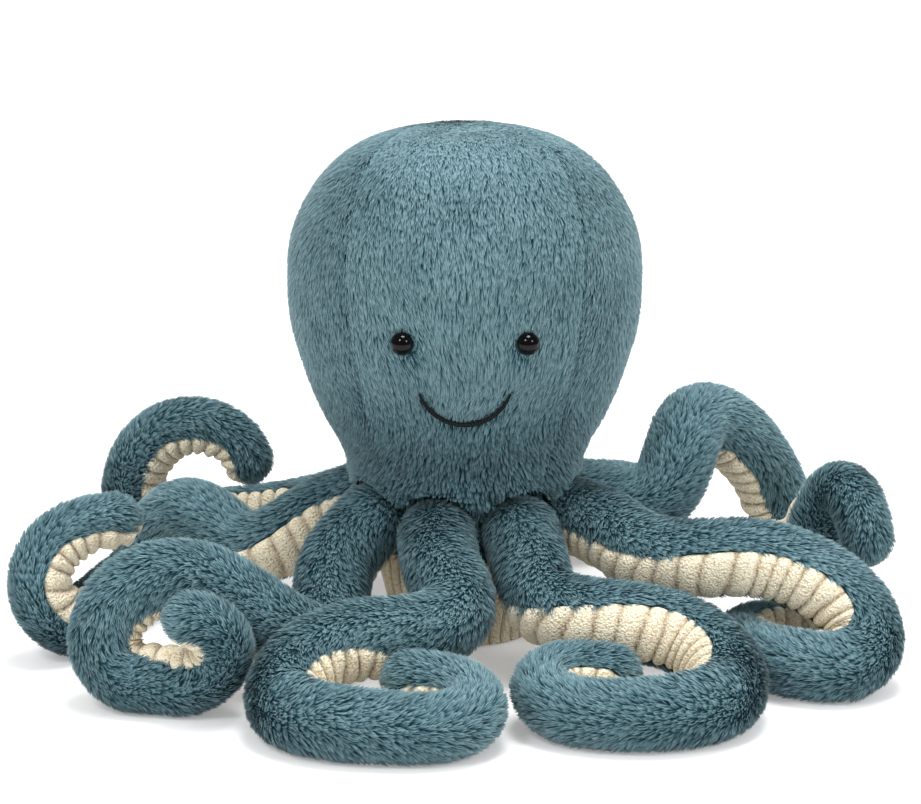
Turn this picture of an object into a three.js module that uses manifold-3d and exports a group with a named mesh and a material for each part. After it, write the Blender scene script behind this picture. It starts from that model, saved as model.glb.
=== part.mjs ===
// A plush octopus: a big stuffed head on a weighted base, with eight curling arms sewn in a ring under it.
// Millimetres, +Z up, -Y is the face side, +X is its right as one looks at the face. The origin is on the floor
// under the middle of the head. Lengths are real sizes; tables whose name ends in shares hold shares of them.
import * as THREE from 'three';
import { mergeVertices } from 'three/addons/utils/BufferGeometryUtils.js';
import Module from 'manifold-3d';

const wasm = await Module();
wasm.setup();

// Driving dimensions
const HEAD_RADIUS = 84;
const HEAD_CENTRE_HEIGHT = 165;
const ROOT_RING_RADIUS = 52;
const ROOT_HEIGHT = 60;
const ARM_LENGTH = 295;
const ARM_ROOT_RADIUS = 19;
const ARM_MIDDLE_RADIUS = 18.8;
const ARM_FAR_RADIUS = 16;
const ARM_TIP_RADIUS = 13.5;
const PLUSH_THICKNESS = 4.5;
const CORD_THICKNESS = 3;

// Clearances between pieces that are sewn or pressed together
const SEAM_GAP = 0.3;
const FIT_GAP = 0.4;
const LIP_GAP = 0.95;
const FILLING_GAP = 0.95;
const SOCKET_GAP = 0.8;

// Head: radius against the angle down from straight up, both as shares (of half a turn and of HEAD_RADIUS)
const HEAD_PROFILE_SHARES = [
  [0, 0.94], [0.155, 1.022], [0.22, 1.05], [0.31, 1.047], [0.39, 1.035], [0.47, 1.003], [0.555, 0.993],
  [0.62, 0.995], [0.695, 1.027], [0.765, 1.08], [0.8, 1.145], [0.834, 1.275],
];
const PANEL_END_SHARE = 0.834;
const CROWN_HOLE_SHARE = 0.006;
const CROWN_TILT_SHARE = 0.23;
const TILT_END_SHARE = 0.6;
const SEAM_DIP = 1.2;
const PANEL_ROWS = 9;
const FILLING_FOOT_RADIUS = 49.5;
const PANELS = [
  { name: 'head_front_panel', from: -41, to: 41, columns: 6 },
  { name: 'head_right_panel', from: 41, to: 115, columns: 5 },
  { name: 'head_back_right_panel', from: 115, to: 180, columns: 4 },
  { name: 'head_back_left_panel', from: 180, to: 245, columns: 4 },
  { name: 'head_left_panel', from: 245, to: 319, columns: 5 },
];

// Face
const EYE_DIAMETER = 10.5;
const EYE_DOME = 4.2;
const EYE_RIM = 1;
const EYE_SPACING = 56;
const EYE_HEIGHT = 160;
const SHANK_DIAMETER = 3.2;
const SHANK_LENGTH = 8.5;
const WASHER_DIAMETER = 12;
const WASHER_THICKNESS = 1.5;
const MOUTH_WIDTH = 40.5;
const MOUTH_DROP = 15;
const MOUTH_TOP = 136;
const MOUTH_THREAD_RADIUS = 1.1;
const MOUTH_END_SHARE = 0.5;
const MOUTH_STEPS = 12;

// Base: a sewn cup of the cream cord, filled with beans
const BASE_FOOT_RADIUS = 34;
const BASE_FOOT_ROUND = 3;
const BASE_WAIST_RADIUS = 41;
const BASE_WAIST_HEIGHT = 30;
const BASE_TOP_RADIUS = 43;
const BASE_RIM = 0.5;
const BASE_TOP_HEIGHT = ROOT_HEIGHT + ARM_ROOT_RADIUS + BASE_RIM;
const BASE_BORE_RADIUS = 28;
const BASE_FLOOR_THICKNESS = 3.5;
const BASE_SIDES = 24;
const BEAN_SIDES = 14;

// Arms: the radius is set at these shares of the length
const RADIUS_STOP_SHARES = [0, 0.45, 0.8, 1];
const RADIUS_STOPS = [ARM_ROOT_RADIUS, ARM_MIDDLE_RADIUS, ARM_FAR_RADIUS, ARM_TIP_RADIUS];
const CORD_HALF_ANGLE = 50;
const PLUSH_POINTS = 7;
const CORD_POINTS = 3;
const FILLING_SIDES = 6;
const ARM_RINGS = 18;
const CURLED_RINGS = 20;
const TWICE_CURLED_RINGS = 30;
const RINGS_PER_TURN_SHARE = 0.25;
const EASE_STEP = 3;
const EASE_PASSES = 14;
const SIDE_EASE_PASSES = 60;
const PINCH_SHARE = 0.92;
const FLOOR_FLAT = 0.5;
const LIP = 0.5;
const ARM_LIFT = 15;
const LIFT_BED_SHARES = [0.45, 1, 1.7];
const ROOT_CAP_ANGLES = [60, 30];
const TIP_CAP_ANGLES = [40, 70];
const CAP_LIP_ANGLES = [22, 10];

// Each arm's way from its root: [right, back, height above the floor] as shares of ARM_LENGTH, then the way its cord
// side looks [right, back, up]. turn is the root's place round the body, from the face towards the right.
const ARMS = [
  {
    name: 'arm_front_left', turn: -14.5,
    wayShares: [
      [0.008, -0.082, 0.175], [0.035, -0.14, 0.145], [0.019, -0.183, 0.125],
      [-0.041, -0.208, 0.115], [-0.128, -0.222, 0.115], [-0.203, -0.267, 0.09],
      [-0.228, -0.337, 0.055], [-0.178, -0.397, 0.05], [-0.083, -0.422, 0.05],
      [0.007, -0.423, 0.05], [0.057, -0.397, 0.055], [0.06, -0.347, 0.066],
      [0.014, -0.307, 0.078], [-0.053, -0.308, 0.084], [-0.153, -0.322, 0.08],
    ],
    cordSides: [
      [0, 0.3, -1], [0, 0.5, -0.9], [-0.6, 0.2, -0.8], [0, -0.6, -0.8], [0.1, -0.7, -0.7],
      [0.7, -0.6, -0.2], [0.95, 0.1, 0.2], [0.5, 0.8, 0.2], [0, 0.95, 0.1], [-0.1, 0.95, 0.1],
      [-0.6, 0.8, 0], [-1, 0, -0.1], [-0.5, -0.7, -0.5], [0, -0.7, -0.7], [0, -0.7, -0.7],
    ],
  },
  {
    name: 'arm_front_right', turn: 30.5,
    wayShares: [
      [0.014, -0.058, 0.168], [0.029, -0.116, 0.132], [0.086, -0.157, 0.122],
      [0.17, -0.175, 0.12], [0.258, -0.196, 0.1], [0.308, -0.266, 0.065], [0.288, -0.346, 0.05],
      [0.218, -0.386, 0.05], [0.128, -0.391, 0.05], [0.053, -0.366, 0.05],
      [0.018, -0.316, 0.065], [0.048, -0.273, 0.075], [0.108, -0.266, 0.075],
      [0.178, -0.286, 0.07],
    ],
    cordSides: [
      [0.1, 0.2, -1], [0, -0.9, -0.5], [0, -1, -0.2], [-0.1, -1, 0], [-0.4, -0.85, 0.1],
      [-0.95, -0.2, 0.2], [-0.8, 0.5, 0.2], [-0.2, 0.95, 0.2], [0, 0.95, 0.2], [0.5, 0.8, 0.1],
      [1, 0.1, 0], [0.7, -0.7, -0.3], [0, -0.9, -0.4], [0, -0.9, -0.4],
    ],
  },
  {
    name: 'arm_right_front', turn: 75.5,
    wayShares: [
      [0.052, -0.046, 0.2], [0.106, -0.117, 0.18], [0.185, -0.16, 0.181],
      [0.283, -0.173, 0.188], [0.377, -0.188, 0.16], [0.441, -0.213, 0.113],
      [0.454, -0.256, 0.068], [0.402, -0.303, 0.05], [0.322, -0.273, 0.05],
      [0.272, -0.223, 0.05], [0.262, -0.163, 0.05], [0.302, -0.118, 0.05],
      [0.362, -0.103, 0.05], [0.422, -0.103, 0.05],
    ],
    cordSides: [
      [0, -0.7, -0.7], [0, -0.8, -0.6], [0, -0.9, -0.4], [0, -0.9, -0.4], [-0.3, -0.85, -0.3],
      [-0.8, -0.4, 0.2], [-0.9, 0.3, 0.3], [0, 0.9, 0.3], [0.2, 0.9, 0.2], [0.9, 0.3, 0.2],
      [0.9, -0.4, 0.2], [0.2, -0.9, 0.3], [0, -1, 0.3], [0, -1, 0.3],
    ],
  },
  {
    name: 'arm_right_back', turn: 120.5, rings: TWICE_CURLED_RINGS,
    wayShares: [
      [0.08, 0.015, 0.18], [0.14, 0.011, 0.172], [0.188, 0.019, 0.206], [0.21, 0.043, 0.268],
      [0.235, 0.09, 0.306], [0.281, 0.118, 0.29], [0.334, 0.138, 0.236], [0.373, 0.156, 0.172],
      [0.398, 0.148, 0.108], [0.413, 0.1, 0.076], [0.424, 0.044, 0.092], [0.439, -0.004, 0.158],
      [0.466, -0.048, 0.228], [0.493, -0.107, 0.202], [0.502, -0.144, 0.132],
      [0.489, -0.152, 0.06], [0.431, -0.132, 0.045],
    ],
    cordSides: [
      [0, 0.8, -0.6], [0, 0.9, -0.4], [-0.3, 0.9, -0.2], [-0.3, 0.5, -0.7], [-0.2, 0, -1],
      [-0.5, -0.4, -0.8], [-0.8, -0.5, -0.5], [-0.85, -0.4, -0.2], [-0.9, -0.2, 0],
      [-0.9, 0, 0.2], [-0.85, 0.3, 0.2], [-0.6, 0.6, 0.1], [-0.3, 0.7, -0.5], [-0.1, 0.9, -0.4],
      [-0.2, 0.95, -0.1], [-0.4, 0.9, 0.2], [-0.2, 0.9, 0.3],
    ],
  },
  {
    name: 'arm_back_right', turn: 165.5,
    wayShares: [
      [0.03, 0.09, 0.17], [0.097, 0.163, 0.13], [0.19, 0.2, 0.09], [0.281, 0.263, 0.065],
      [0.288, 0.357, 0.05], [0.208, 0.427, 0.05], [0.098, 0.427, 0.05], [0.023, 0.367, 0.05],
      [0.023, 0.292, 0.05], [0.083, 0.262, 0.05], [0.153, 0.292, 0.05], [0.193, 0.317, 0.05],
    ],
    cordSides: [
      [0, -0.2, -1], [-0.2, 0.3, -0.9], [-0.3, 0.9, -0.2], [-0.9, 0.3, 0.3], [-0.9, -0.3, 0.3],
      [-0.2, -0.9, 0.4], [0.2, -0.9, 0.4], [0.9, -0.3, 0.3], [0.9, 0.4, 0.3], [0.2, 0.9, 0.3],
      [-0.4, 0.9, 0.3], [-0.5, 0.8, 0.3],
    ],
  },
  {
    name: 'arm_back_left', turn: -149.5,
    wayShares: [
      [-0.035, 0.08, 0.17], [-0.108, 0.148, 0.122], [-0.221, 0.197, 0.08], [-0.33, 0.225, 0.06],
      [-0.428, 0.216, 0.055], [-0.475, 0.169, 0.08], [-0.483, 0.128, 0.143],
      [-0.463, 0.105, 0.221], [-0.403, 0.091, 0.273], [-0.335, 0.086, 0.273],
      [-0.286, 0.081, 0.24], [-0.272, 0.076, 0.195],
    ],
    cordSides: [
      [-0.1, -0.9, 0.2], [0, -0.9, 0.35], [0, -0.9, 0.35], [0.2, -0.9, 0.4], [0.6, -0.5, 0.6],
      [0.9, -0.1, 0.5], [1, -0.3, 0], [0.7, -0.4, -0.6], [0.2, -0.4, -0.95],
      [-0.2, -0.4, -0.95], [-0.8, -0.3, -0.6], [-0.95, -0.2, -0.1],
    ],
  },
  {
    name: 'arm_left_back', turn: -104.5, rings: CURLED_RINGS,
    wayShares: [
      [-0.07, 0, 0.175], [-0.133, -0.013, 0.135], [-0.19, 0, 0.112], [-0.238, 0.031, 0.14],
      [-0.287, 0.058, 0.165], [-0.328, 0.083, 0.135], [-0.353, 0.075, 0.088],
      [-0.372, 0.021, 0.052], [-0.397, -0.042, 0.045], [-0.422, -0.117, 0.045],
      [-0.452, -0.187, 0.05], [-0.494, -0.222, 0.09], [-0.504, -0.217, 0.145],
      [-0.477, -0.197, 0.195], [-0.422, -0.182, 0.22], [-0.352, -0.177, 0.225],
    ],
    cordSides: [
      [0, -0.95, -0.3], [0, -0.95, -0.3], [0, -0.7, -0.7], [0, -0.4, -0.9], [0.2, 0, -1],
      [0.7, 0, -0.5], [0.9, -0.4, 0.2], [0.8, -0.5, 0.6], [0.7, 0, 0.8], [0.7, 0, 0.8],
      [0.8, 0.1, 0.7], [0.9, -0.2, 0.2], [0.9, -0.4, -0.2], [0.6, -0.5, -0.6],
      [0.2, -0.5, -0.9], [0, -0.5, -0.9],
    ],
  },
  {
    name: 'arm_left_front', turn: -59.5,
    wayShares: [
      [-0.052, -0.052, 0.157], [-0.059, -0.123, 0.1], [-0.069, -0.183, 0.07],
      [-0.12, -0.21, 0.09], [-0.191, -0.223, 0.145], [-0.261, -0.238, 0.19],
      [-0.336, -0.253, 0.19], [-0.391, -0.268, 0.14], [-0.396, -0.283, 0.075],
      [-0.346, -0.298, 0.045], [-0.276, -0.313, 0.045], [-0.216, -0.328, 0.08],
      [-0.206, -0.345, 0.13], [-0.241, -0.363, 0.17], [-0.301, -0.368, 0.165],
    ],
    cordSides: [
      [0.5, 0.5, -0.7], [0.6, 0.3, -0.8], [0.2, 0.1, -1], [-0.5, -0.1, -0.8],
      [-0.5, -0.1, -0.9], [-0.2, 0, -0.95], [0.4, 0, -0.8], [0.9, 0, -0.3], [0.9, 0.2, 0.3],
      [0.4, 0.3, 0.85], [-0.2, 0.2, 0.95], [-0.9, 0, 0.4], [-0.95, -0.1, -0.1],
      [-0.3, -0.1, -0.9], [0.3, -0.1, -1],
    ],
  },
];

// Colours and finishes
const FINISHES = {
  plush: { color: '#577e88', roughness: 0.95, metalness: 0 },
  cord: { color: '#e3dbc4', roughness: 0.9, metalness: 0 },
  filling: { color: '#f4f3ef', roughness: 1, metalness: 0 },
  beans: { color: '#cfc7b6', roughness: 0.9, metalness: 0 },
  eye: { color: '#0a0a0b', roughness: 0.12, metalness: 0 },
  washer: { color: '#e8e8e6', roughness: 0.5, metalness: 0 },
  thread: { color: '#14181b', roughness: 0.8, metalness: 0 },
};

const radians = THREE.MathUtils.degToRad;

function piece(name, geometry, finish) {
  const mesh = new THREE.Mesh(geometry, new THREE.MeshStandardMaterial(FINISHES[finish]));
  mesh.name = name;
  return mesh;
}

// The value of a broken line through stops (rising) and values at x.
function along(stops, values, x) {
  let k = 0;
  while (k < stops.length - 2 && x > stops[k + 1]) k += 1;
  return THREE.MathUtils.mapLinear(x, stops[k], stops[k + 1], values[k], values[k + 1]);
}

// A closed solid from points and triangles, turned so that its faces point out.
function closedSolid(points, triangles) {
  const product = new THREE.Vector3();
  let volume = 0;
  for (const [a, b, c] of triangles) {
    volume += points[a].dot(product.crossVectors(points[b], points[c]));
  }
  const turned = volume < 0 ? triangles.map(([a, b, c]) => [a, c, b]) : triangles;
  const geometry = new THREE.BufferGeometry().setFromPoints(points);
  geometry.setIndex(turned.flat());
  return geometry;
}

// Joins rings of equally many points into a closed solid; caps lists the triangles of one end.
function loft(rings, caps) {
  const count = rings[0].length;
  const last = (rings.length - 1) * count;
  const points = rings.flat();
  const triangles = [];
  for (let k = 0; k < rings.length - 1; k += 1) {
    for (let j = 0; j < count; j += 1) {
      const a = k * count + j;
      const b = k * count + ((j + 1) % count);
      if (points[a].distanceTo(points[b + count]) < points[b].distanceTo(points[a + count])) {
        triangles.push([a, b, b + count], [a, b + count, a + count]);
      } else {
        triangles.push([a, b, a + count], [b, b + count, a + count]);
      }
    }
  }
  for (const [a, b, c] of caps) {
    triangles.push([a, c, b], [a + last, b + last, c + last]);
  }
  return closedSolid(points, triangles);
}

// End triangles of a band whose ring runs out along one edge and back along the other.
function bandCap(edge) {
  const caps = [];
  for (let j = 0; j < edge - 1; j += 1) {
    const back = 2 * edge - 1 - j;
    caps.push([j, j + 1, back - 1], [j, back - 1, back]);
  }
  return caps;
}

// End triangles of a ring that is one convex outline.
function fanCap(count) {
  return Array.from({ length: count - 2 }, (_, j) => [0, j + 1, j + 2]);
}

function toManifold(geometry, matrix) {
  const bare = geometry.clone();
  bare.deleteAttribute('normal');
  bare.deleteAttribute('uv');
  if (matrix) bare.applyMatrix4(matrix);
  const merged = mergeVertices(bare);
  return new wasm.Manifold(new wasm.Mesh({
    numProp: 3,
    vertProperties: new Float32Array(merged.attributes.position.array),
    triVerts: new Uint32Array(merged.index.array),
  }));
}

function fromManifold(solid) {
  const mesh = solid.getMesh();
  const geometry = new THREE.BufferGeometry();
  geometry.setAttribute('position', new THREE.BufferAttribute(new Float32Array(mesh.vertProperties), 3));
  geometry.setIndex(new THREE.BufferAttribute(new Uint32Array(mesh.triVerts), 1));
  return geometry;
}

function cut(geometry, tools) {
  let solid = toManifold(geometry);
  for (const tool of tools) solid = solid.subtract(tool);
  return fromManifold(solid);
}

// Head

// The head's radius in a direction that falls by the given angle from straight up.
function headReach(fall) {
  const stops = HEAD_PROFILE_SHARES.map(([share]) => share * Math.PI);
  const values = HEAD_PROFILE_SHARES.map(([, share]) => share * HEAD_RADIUS);
  const curve = new THREE.SplineCurve(stops.map((stop, k) => new THREE.Vector2(stop / Math.PI, values[k] / HEAD_RADIUS)));
  let k = 0;
  while (k < stops.length - 2 && fall > stops[k + 1]) k += 1;
  const part = (fall - stops[k]) / (stops[k + 1] - stops[k]);
  return curve.getPoint((k + part) / (stops.length - 1)).y * HEAD_RADIUS;
}

// A point of the head: turn goes round from the face, fall goes down from the crown, where the panels meet. The
// crown lies behind the top, so the front panel runs over it.
function headPoint(turn, fall, inset) {
  const way = new THREE.Vector3(
    Math.sin(fall) * Math.sin(turn),
    -Math.sin(fall) * Math.cos(turn),
    Math.cos(fall),
  );
  const tilt = CROWN_TILT_SHARE * Math.PI * Math.max(0, 1 - fall / (TILT_END_SHARE * Math.PI));
  way.applyAxisAngle(new THREE.Vector3(1, 0, 0), -tilt);
  way.multiplyScalar(headReach(Math.acos(way.z)) - inset);
  return way.setZ(way.z + HEAD_CENTRE_HEIGHT);
}

function panelFall(row) {
  return Math.PI * THREE.MathUtils.lerp(CROWN_HOLE_SHARE, PANEL_END_SHARE, row / PANEL_ROWS);
}

// One plush panel of the head, drawn in a little along its two seams.
function headPanel({ from, to, columns }) {
  const points = [];
  const side = columns + 1;
  for (const inset of [0, PLUSH_THICKNESS]) {
    for (let row = 0; row <= PANEL_ROWS; row += 1) {
      const fall = panelFall(row);
      const seam = SEAM_GAP / 2 / (HEAD_RADIUS * Math.sin(fall));
      for (let column = 0; column <= columns; column += 1) {
        const across = column / columns;
        const turn = THREE.MathUtils.lerp(radians(from) + seam, radians(to) - seam, across);
        const dip = SEAM_DIP * Math.sin(fall) * (2 * across - 1) ** 4;
        points.push(headPoint(turn, fall, inset + dip));
      }
    }
  }
  const layer = side * (PANEL_ROWS + 1);
  const triangles = [];
  const quad = (a, b, c, d) => triangles.push([a, b, c], [a, c, d]);
  for (let row = 0; row < PANEL_ROWS; row += 1) {
    for (let column = 0; column < columns; column += 1) {
      const a = row * side + column;
      quad(a, a + side, a + side + 1, a + 1);
      quad(a + layer, a + layer + 1, a + layer + side + 1, a + layer + side);
    }
    const left = row * side;
    const right = left + columns;
    quad(left, left + layer, left + layer + side, left + side);
    quad(right, right + side, right + side + layer, right + layer);
  }
  for (let column = 0; column < columns; column += 1) {
    const low = PANEL_ROWS * side + column;
    quad(column, column + 1, column + 1 + layer, column + layer);
    quad(low, low + layer, low + layer + 1, low + 1);
  }
  return closedSolid(points, triangles);
}

// The stuffing under the panels, down to the top of the base.
function headFilling() {
  const columns = PANELS.flatMap((panel) => (
    Array.from({ length: panel.columns }, (_, column) => ({
      turn: radians(THREE.MathUtils.lerp(panel.from, panel.to, column / panel.columns)),
      dip: SEAM_DIP * ((2 * column) / panel.columns - 1) ** 4,
    }))
  ));
  const rings = [];
  for (let row = 1; row < PANEL_ROWS; row += 1) {
    const fall = panelFall(row);
    rings.push(columns.map(({ turn, dip }) => (
      headPoint(turn, fall, PLUSH_THICKNESS + FILLING_GAP + dip * Math.sin(fall))
    )));
  }
  rings.push(columns.map(({ turn }) => new THREE.Vector3(
    FILLING_FOOT_RADIUS * Math.sin(turn),
    -FILLING_FOOT_RADIUS * Math.cos(turn),
    BASE_TOP_HEIGHT + SEAM_GAP,
  )));
  return loft(rings, fanCap(columns.length));
}

const face = new THREE.Mesh(headPanel(PANELS[0]));

// The place on the front panel at a given x and height, and the way straight out from it.
function faceSpot(x, height) {
  const look = new THREE.Raycaster(new THREE.Vector3(x, -2 * HEAD_RADIUS, height), new THREE.Vector3(0, 1, 0));
  const place = look.intersectObject(face)[0].point;
  const out = place.clone().setZ(height - HEAD_CENTRE_HEIGHT).normalize();
  return { place, out };
}

// A geometry's matrix that stands its Y axis along out at place, moved on by lift.
function standing({ place, out }, lift) {
  const turn = new THREE.Quaternion().setFromUnitVectors(new THREE.Vector3(0, 1, 0), out);
  const seat = place.clone().addScaledVector(out, lift);
  return new THREE.Matrix4().compose(seat, turn, new THREE.Vector3(1, 1, 1));
}

function eyeSpot(side) {
  return faceSpot((side * EYE_SPACING) / 2, EYE_HEIGHT);
}

function eyeGeometry() {
  const radius = EYE_DIAMETER / 2;
  const outline = [
    new THREE.Vector2(0, -SHANK_LENGTH),
    new THREE.Vector2(SHANK_DIAMETER / 2, -SHANK_LENGTH),
    new THREE.Vector2(SHANK_DIAMETER / 2, 0),
    new THREE.Vector2(radius, 0),
  ];
  for (const share of [0, 0.25, 0.5, 0.75]) {
    const rise = (share * Math.PI) / 2;
    outline.push(new THREE.Vector2(radius * Math.cos(rise), EYE_RIM + (EYE_DOME - EYE_RIM) * Math.sin(rise)));
  }
  outline.push(new THREE.Vector2(0, EYE_DOME));
  return new THREE.LatheGeometry(outline, 14);
}

function washerGeometry() {
  const bore = SHANK_DIAMETER / 2 + SEAM_GAP;
  const edge = WASHER_DIAMETER / 2;
  return new THREE.LatheGeometry([
    new THREE.Vector2(bore, 0),
    new THREE.Vector2(edge, 0),
    new THREE.Vector2(edge, WASHER_THICKNESS),
    new THREE.Vector2(bore, WASHER_THICKNESS),
    new THREE.Vector2(bore, 0),
  ], 14);
}

function mouthGeometry() {
  const half = MOUTH_WIDTH / 2;
  const bow = (half ** 2 + MOUTH_DROP ** 2) / (2 * MOUTH_DROP);
  const reach = Math.asin(half / bow);
  const centre = MOUTH_TOP - MOUTH_DROP + bow;
  const rings = [];
  for (let k = 0; k <= MOUTH_STEPS; k += 1) {
    const share = (2 * k) / MOUTH_STEPS - 1;
    const angle = share * reach;
    const { place, out } = faceSpot(bow * Math.sin(angle), centre - bow * Math.cos(angle));
    const across = new THREE.Vector3(Math.sin(angle), 0, -Math.cos(angle));
    across.addScaledVector(out, -across.dot(out)).normalize();
    const thread = MOUTH_THREAD_RADIUS * THREE.MathUtils.lerp(1, MOUTH_END_SHARE, share ** 2);
    const middle = place.addScaledVector(out, SEAM_GAP + MOUTH_THREAD_RADIUS);
    rings.push(Array.from({ length: 6 }, (_, j) => {
      const round = (j * Math.PI) / 3;
      return middle.clone()
        .addScaledVector(out, thread * Math.cos(round))
        .addScaledVector(across, thread * Math.sin(round));
    }));
  }
  return loft(rings, fanCap(6));
}

// Base

function rootPlace(turn) {
  const angle = radians(turn);
  return new THREE.Vector3(ROOT_RING_RADIUS * Math.sin(angle), -ROOT_RING_RADIUS * Math.cos(angle), ROOT_HEIGHT);
}

// The round beds that the arms' roots are sewn into, and those that they need a little further out when lifted.
function rootBeds() {
  const ball = new THREE.SphereGeometry(ARM_ROOT_RADIUS + SOCKET_GAP, 18, 12);
  const bed = (place) => toManifold(ball, new THREE.Matrix4().setPosition(place));
  return ARMS.map(({ turn, wayShares }) => {
    const [right, back] = wayShares[0];
    const ahead = new THREE.Vector3(right, back, 0).normalize().multiplyScalar(Math.cos(radians(ARM_LIFT)));
    ahead.setZ(Math.sin(radians(ARM_LIFT)));
    const root = rootPlace(turn);
    const lifted = LIFT_BED_SHARES.map((share) => root.clone().addScaledVector(ahead, share * ARM_ROOT_RADIUS));
    return { root: bed(root), lifted: lifted.map(bed) };
  });
}

const UPRIGHT = new THREE.Matrix4().makeRotationX(Math.PI / 2);

function baseCup() {
  const outline = [
    new THREE.Vector2(0, 0),
    new THREE.Vector2(BASE_FOOT_RADIUS - BASE_FOOT_ROUND, 0),
    new THREE.Vector2(BASE_FOOT_RADIUS, BASE_FOOT_ROUND),
    new THREE.Vector2(BASE_WAIST_RADIUS, BASE_WAIST_HEIGHT),
    new THREE.Vector2(BASE_TOP_RADIUS, ROOT_HEIGHT),
    new THREE.Vector2(BASE_TOP_RADIUS, BASE_TOP_HEIGHT),
    new THREE.Vector2(BASE_BORE_RADIUS, BASE_TOP_HEIGHT),
    new THREE.Vector2(BASE_BORE_RADIUS, BASE_FLOOR_THICKNESS + BASE_FOOT_ROUND),
    new THREE.Vector2(BASE_BORE_RADIUS - BASE_FOOT_ROUND, BASE_FLOOR_THICKNESS),
    new THREE.Vector2(0, BASE_FLOOR_THICKNESS),
  ];
  return new THREE.LatheGeometry(outline, BASE_SIDES).applyMatrix4(UPRIGHT);
}

function beanBag() {
  const radius = BASE_BORE_RADIUS - FIT_GAP;
  const floor = BASE_FLOOR_THICKNESS + FIT_GAP;
  const outline = [
    new THREE.Vector2(0, floor),
    new THREE.Vector2(radius - BASE_FOOT_ROUND, floor),
    new THREE.Vector2(radius, floor + BASE_FOOT_ROUND),
    new THREE.Vector2(radius, BASE_TOP_HEIGHT - BASE_FOOT_ROUND),
    new THREE.Vector2(radius - BASE_FOOT_ROUND, BASE_TOP_HEIGHT),
    new THREE.Vector2(0, BASE_TOP_HEIGHT),
  ];
  return new THREE.LatheGeometry(outline, BEAN_SIDES).applyMatrix4(UPRIGHT);
}

// Arms

function armRadius(run) {
  return along(RADIUS_STOP_SHARES, RADIUS_STOPS, run / ARM_LENGTH);
}

// Eases a row of vectors: passes times, each but the two end ones goes halfway to the mean of its neighbours, and
// keep then brings it back to what it must be.
function eased(row, passes, keep) {
  let now = row;
  for (let pass = 0; pass < passes; pass += 1) {
    const last = now;
    now = last.map((vector, k) => {
      if (k === 0 || k === last.length - 1) return vector;
      const mean = last[k - 1].clone().add(last[k + 1]).multiplyScalar(0.5);
      return keep(mean.lerp(vector, 0.5), k);
    });
  }
  return now;
}

// An arm's middle line: a curve through its stops, sampled evenly and eased, with the side that its cord is on. Gives
// the samples and the run of length to each.
function middleLine({ wayShares, cordSides }) {
  const stops = [new THREE.Vector3()];
  for (const [right, back, height] of wayShares) {
    stops.push(new THREE.Vector3(right, back, height).multiplyScalar(ARM_LENGTH).setZ(height * ARM_LENGTH - ROOT_HEIGHT));
  }
  const sides = [cordSides[0], ...cordSides].map((side) => new THREE.Vector3(...side).normalize());
  const curve = new THREE.CatmullRomCurve3(stops, false, 'centripetal');
  const count = Math.round(curve.getLength() / EASE_STEP);
  const steps = Array.from({ length: count + 1 }, (_, k) => curve.getUtoTmapping(k / count));
  const places = eased(steps.map((step) => curve.getPoint(step)), EASE_PASSES, (place) => place);
  const square = (side, k) => {
    const ahead = places[Math.min(k + 1, count)].clone().sub(places[Math.max(k - 1, 0)]).normalize();
    return side.addScaledVector(ahead, -side.dot(ahead)).normalize();
  };
  const firstSides = steps.map((step, k) => {
    const stop = Math.min(Math.floor(step * (stops.length - 1)), stops.length - 2);
    return square(sides[stop].clone().lerp(sides[stop + 1], step * (stops.length - 1) - stop), k);
  });
  const easedSides = eased(firstSides, SIDE_EASE_PASSES, square);
  const samples = places.map((place, k) => ({ place, side: easedSides[k] }));
  const runs = [0];
  for (let k = 1; k <= count; k += 1) {
    runs.push(runs[k - 1] + samples[k].place.distanceTo(samples[k - 1].place));
  }
  return { samples, runs };
}

// The line's place and cord side at a run of length from the root; past its end it goes straight on.
function onLine({ samples, runs }, run) {
  let k = 0;
  while (k < runs.length - 2 && run > runs[k + 1]) k += 1;
  const share = (run - runs[k]) / (runs[k + 1] - runs[k]);
  return {
    place: samples[k].place.clone().lerp(samples[k + 1].place, share),
    side: samples[k].side.clone().lerp(samples[k + 1].side, Math.min(share, 1)),
  };
}

// The runs of length at which the arm gets a ring, closer together where it curls.
function ringRuns(line, count) {
  const measure = [0];
  for (let k = 1; k < line.samples.length; k += 1) {
    const here = line.samples[k].place.clone().sub(line.samples[k - 1].place);
    const next = line.samples[Math.min(k + 1, line.samples.length - 1)].place.clone().sub(line.samples[k].place);
    const bend = next.length() > 0 ? here.angleTo(next) : 0;
    measure.push(measure[k - 1] + here.length() / ARM_LENGTH + RINGS_PER_TURN_SHARE * bend);
  }
  const full = along(line.runs, measure, ARM_LENGTH);
  return Array.from({ length: count }, (_, k) => (
    k === count - 1 ? ARM_LENGTH : along(measure, line.runs, (full * k) / (count - 1))
  ));
}

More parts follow.
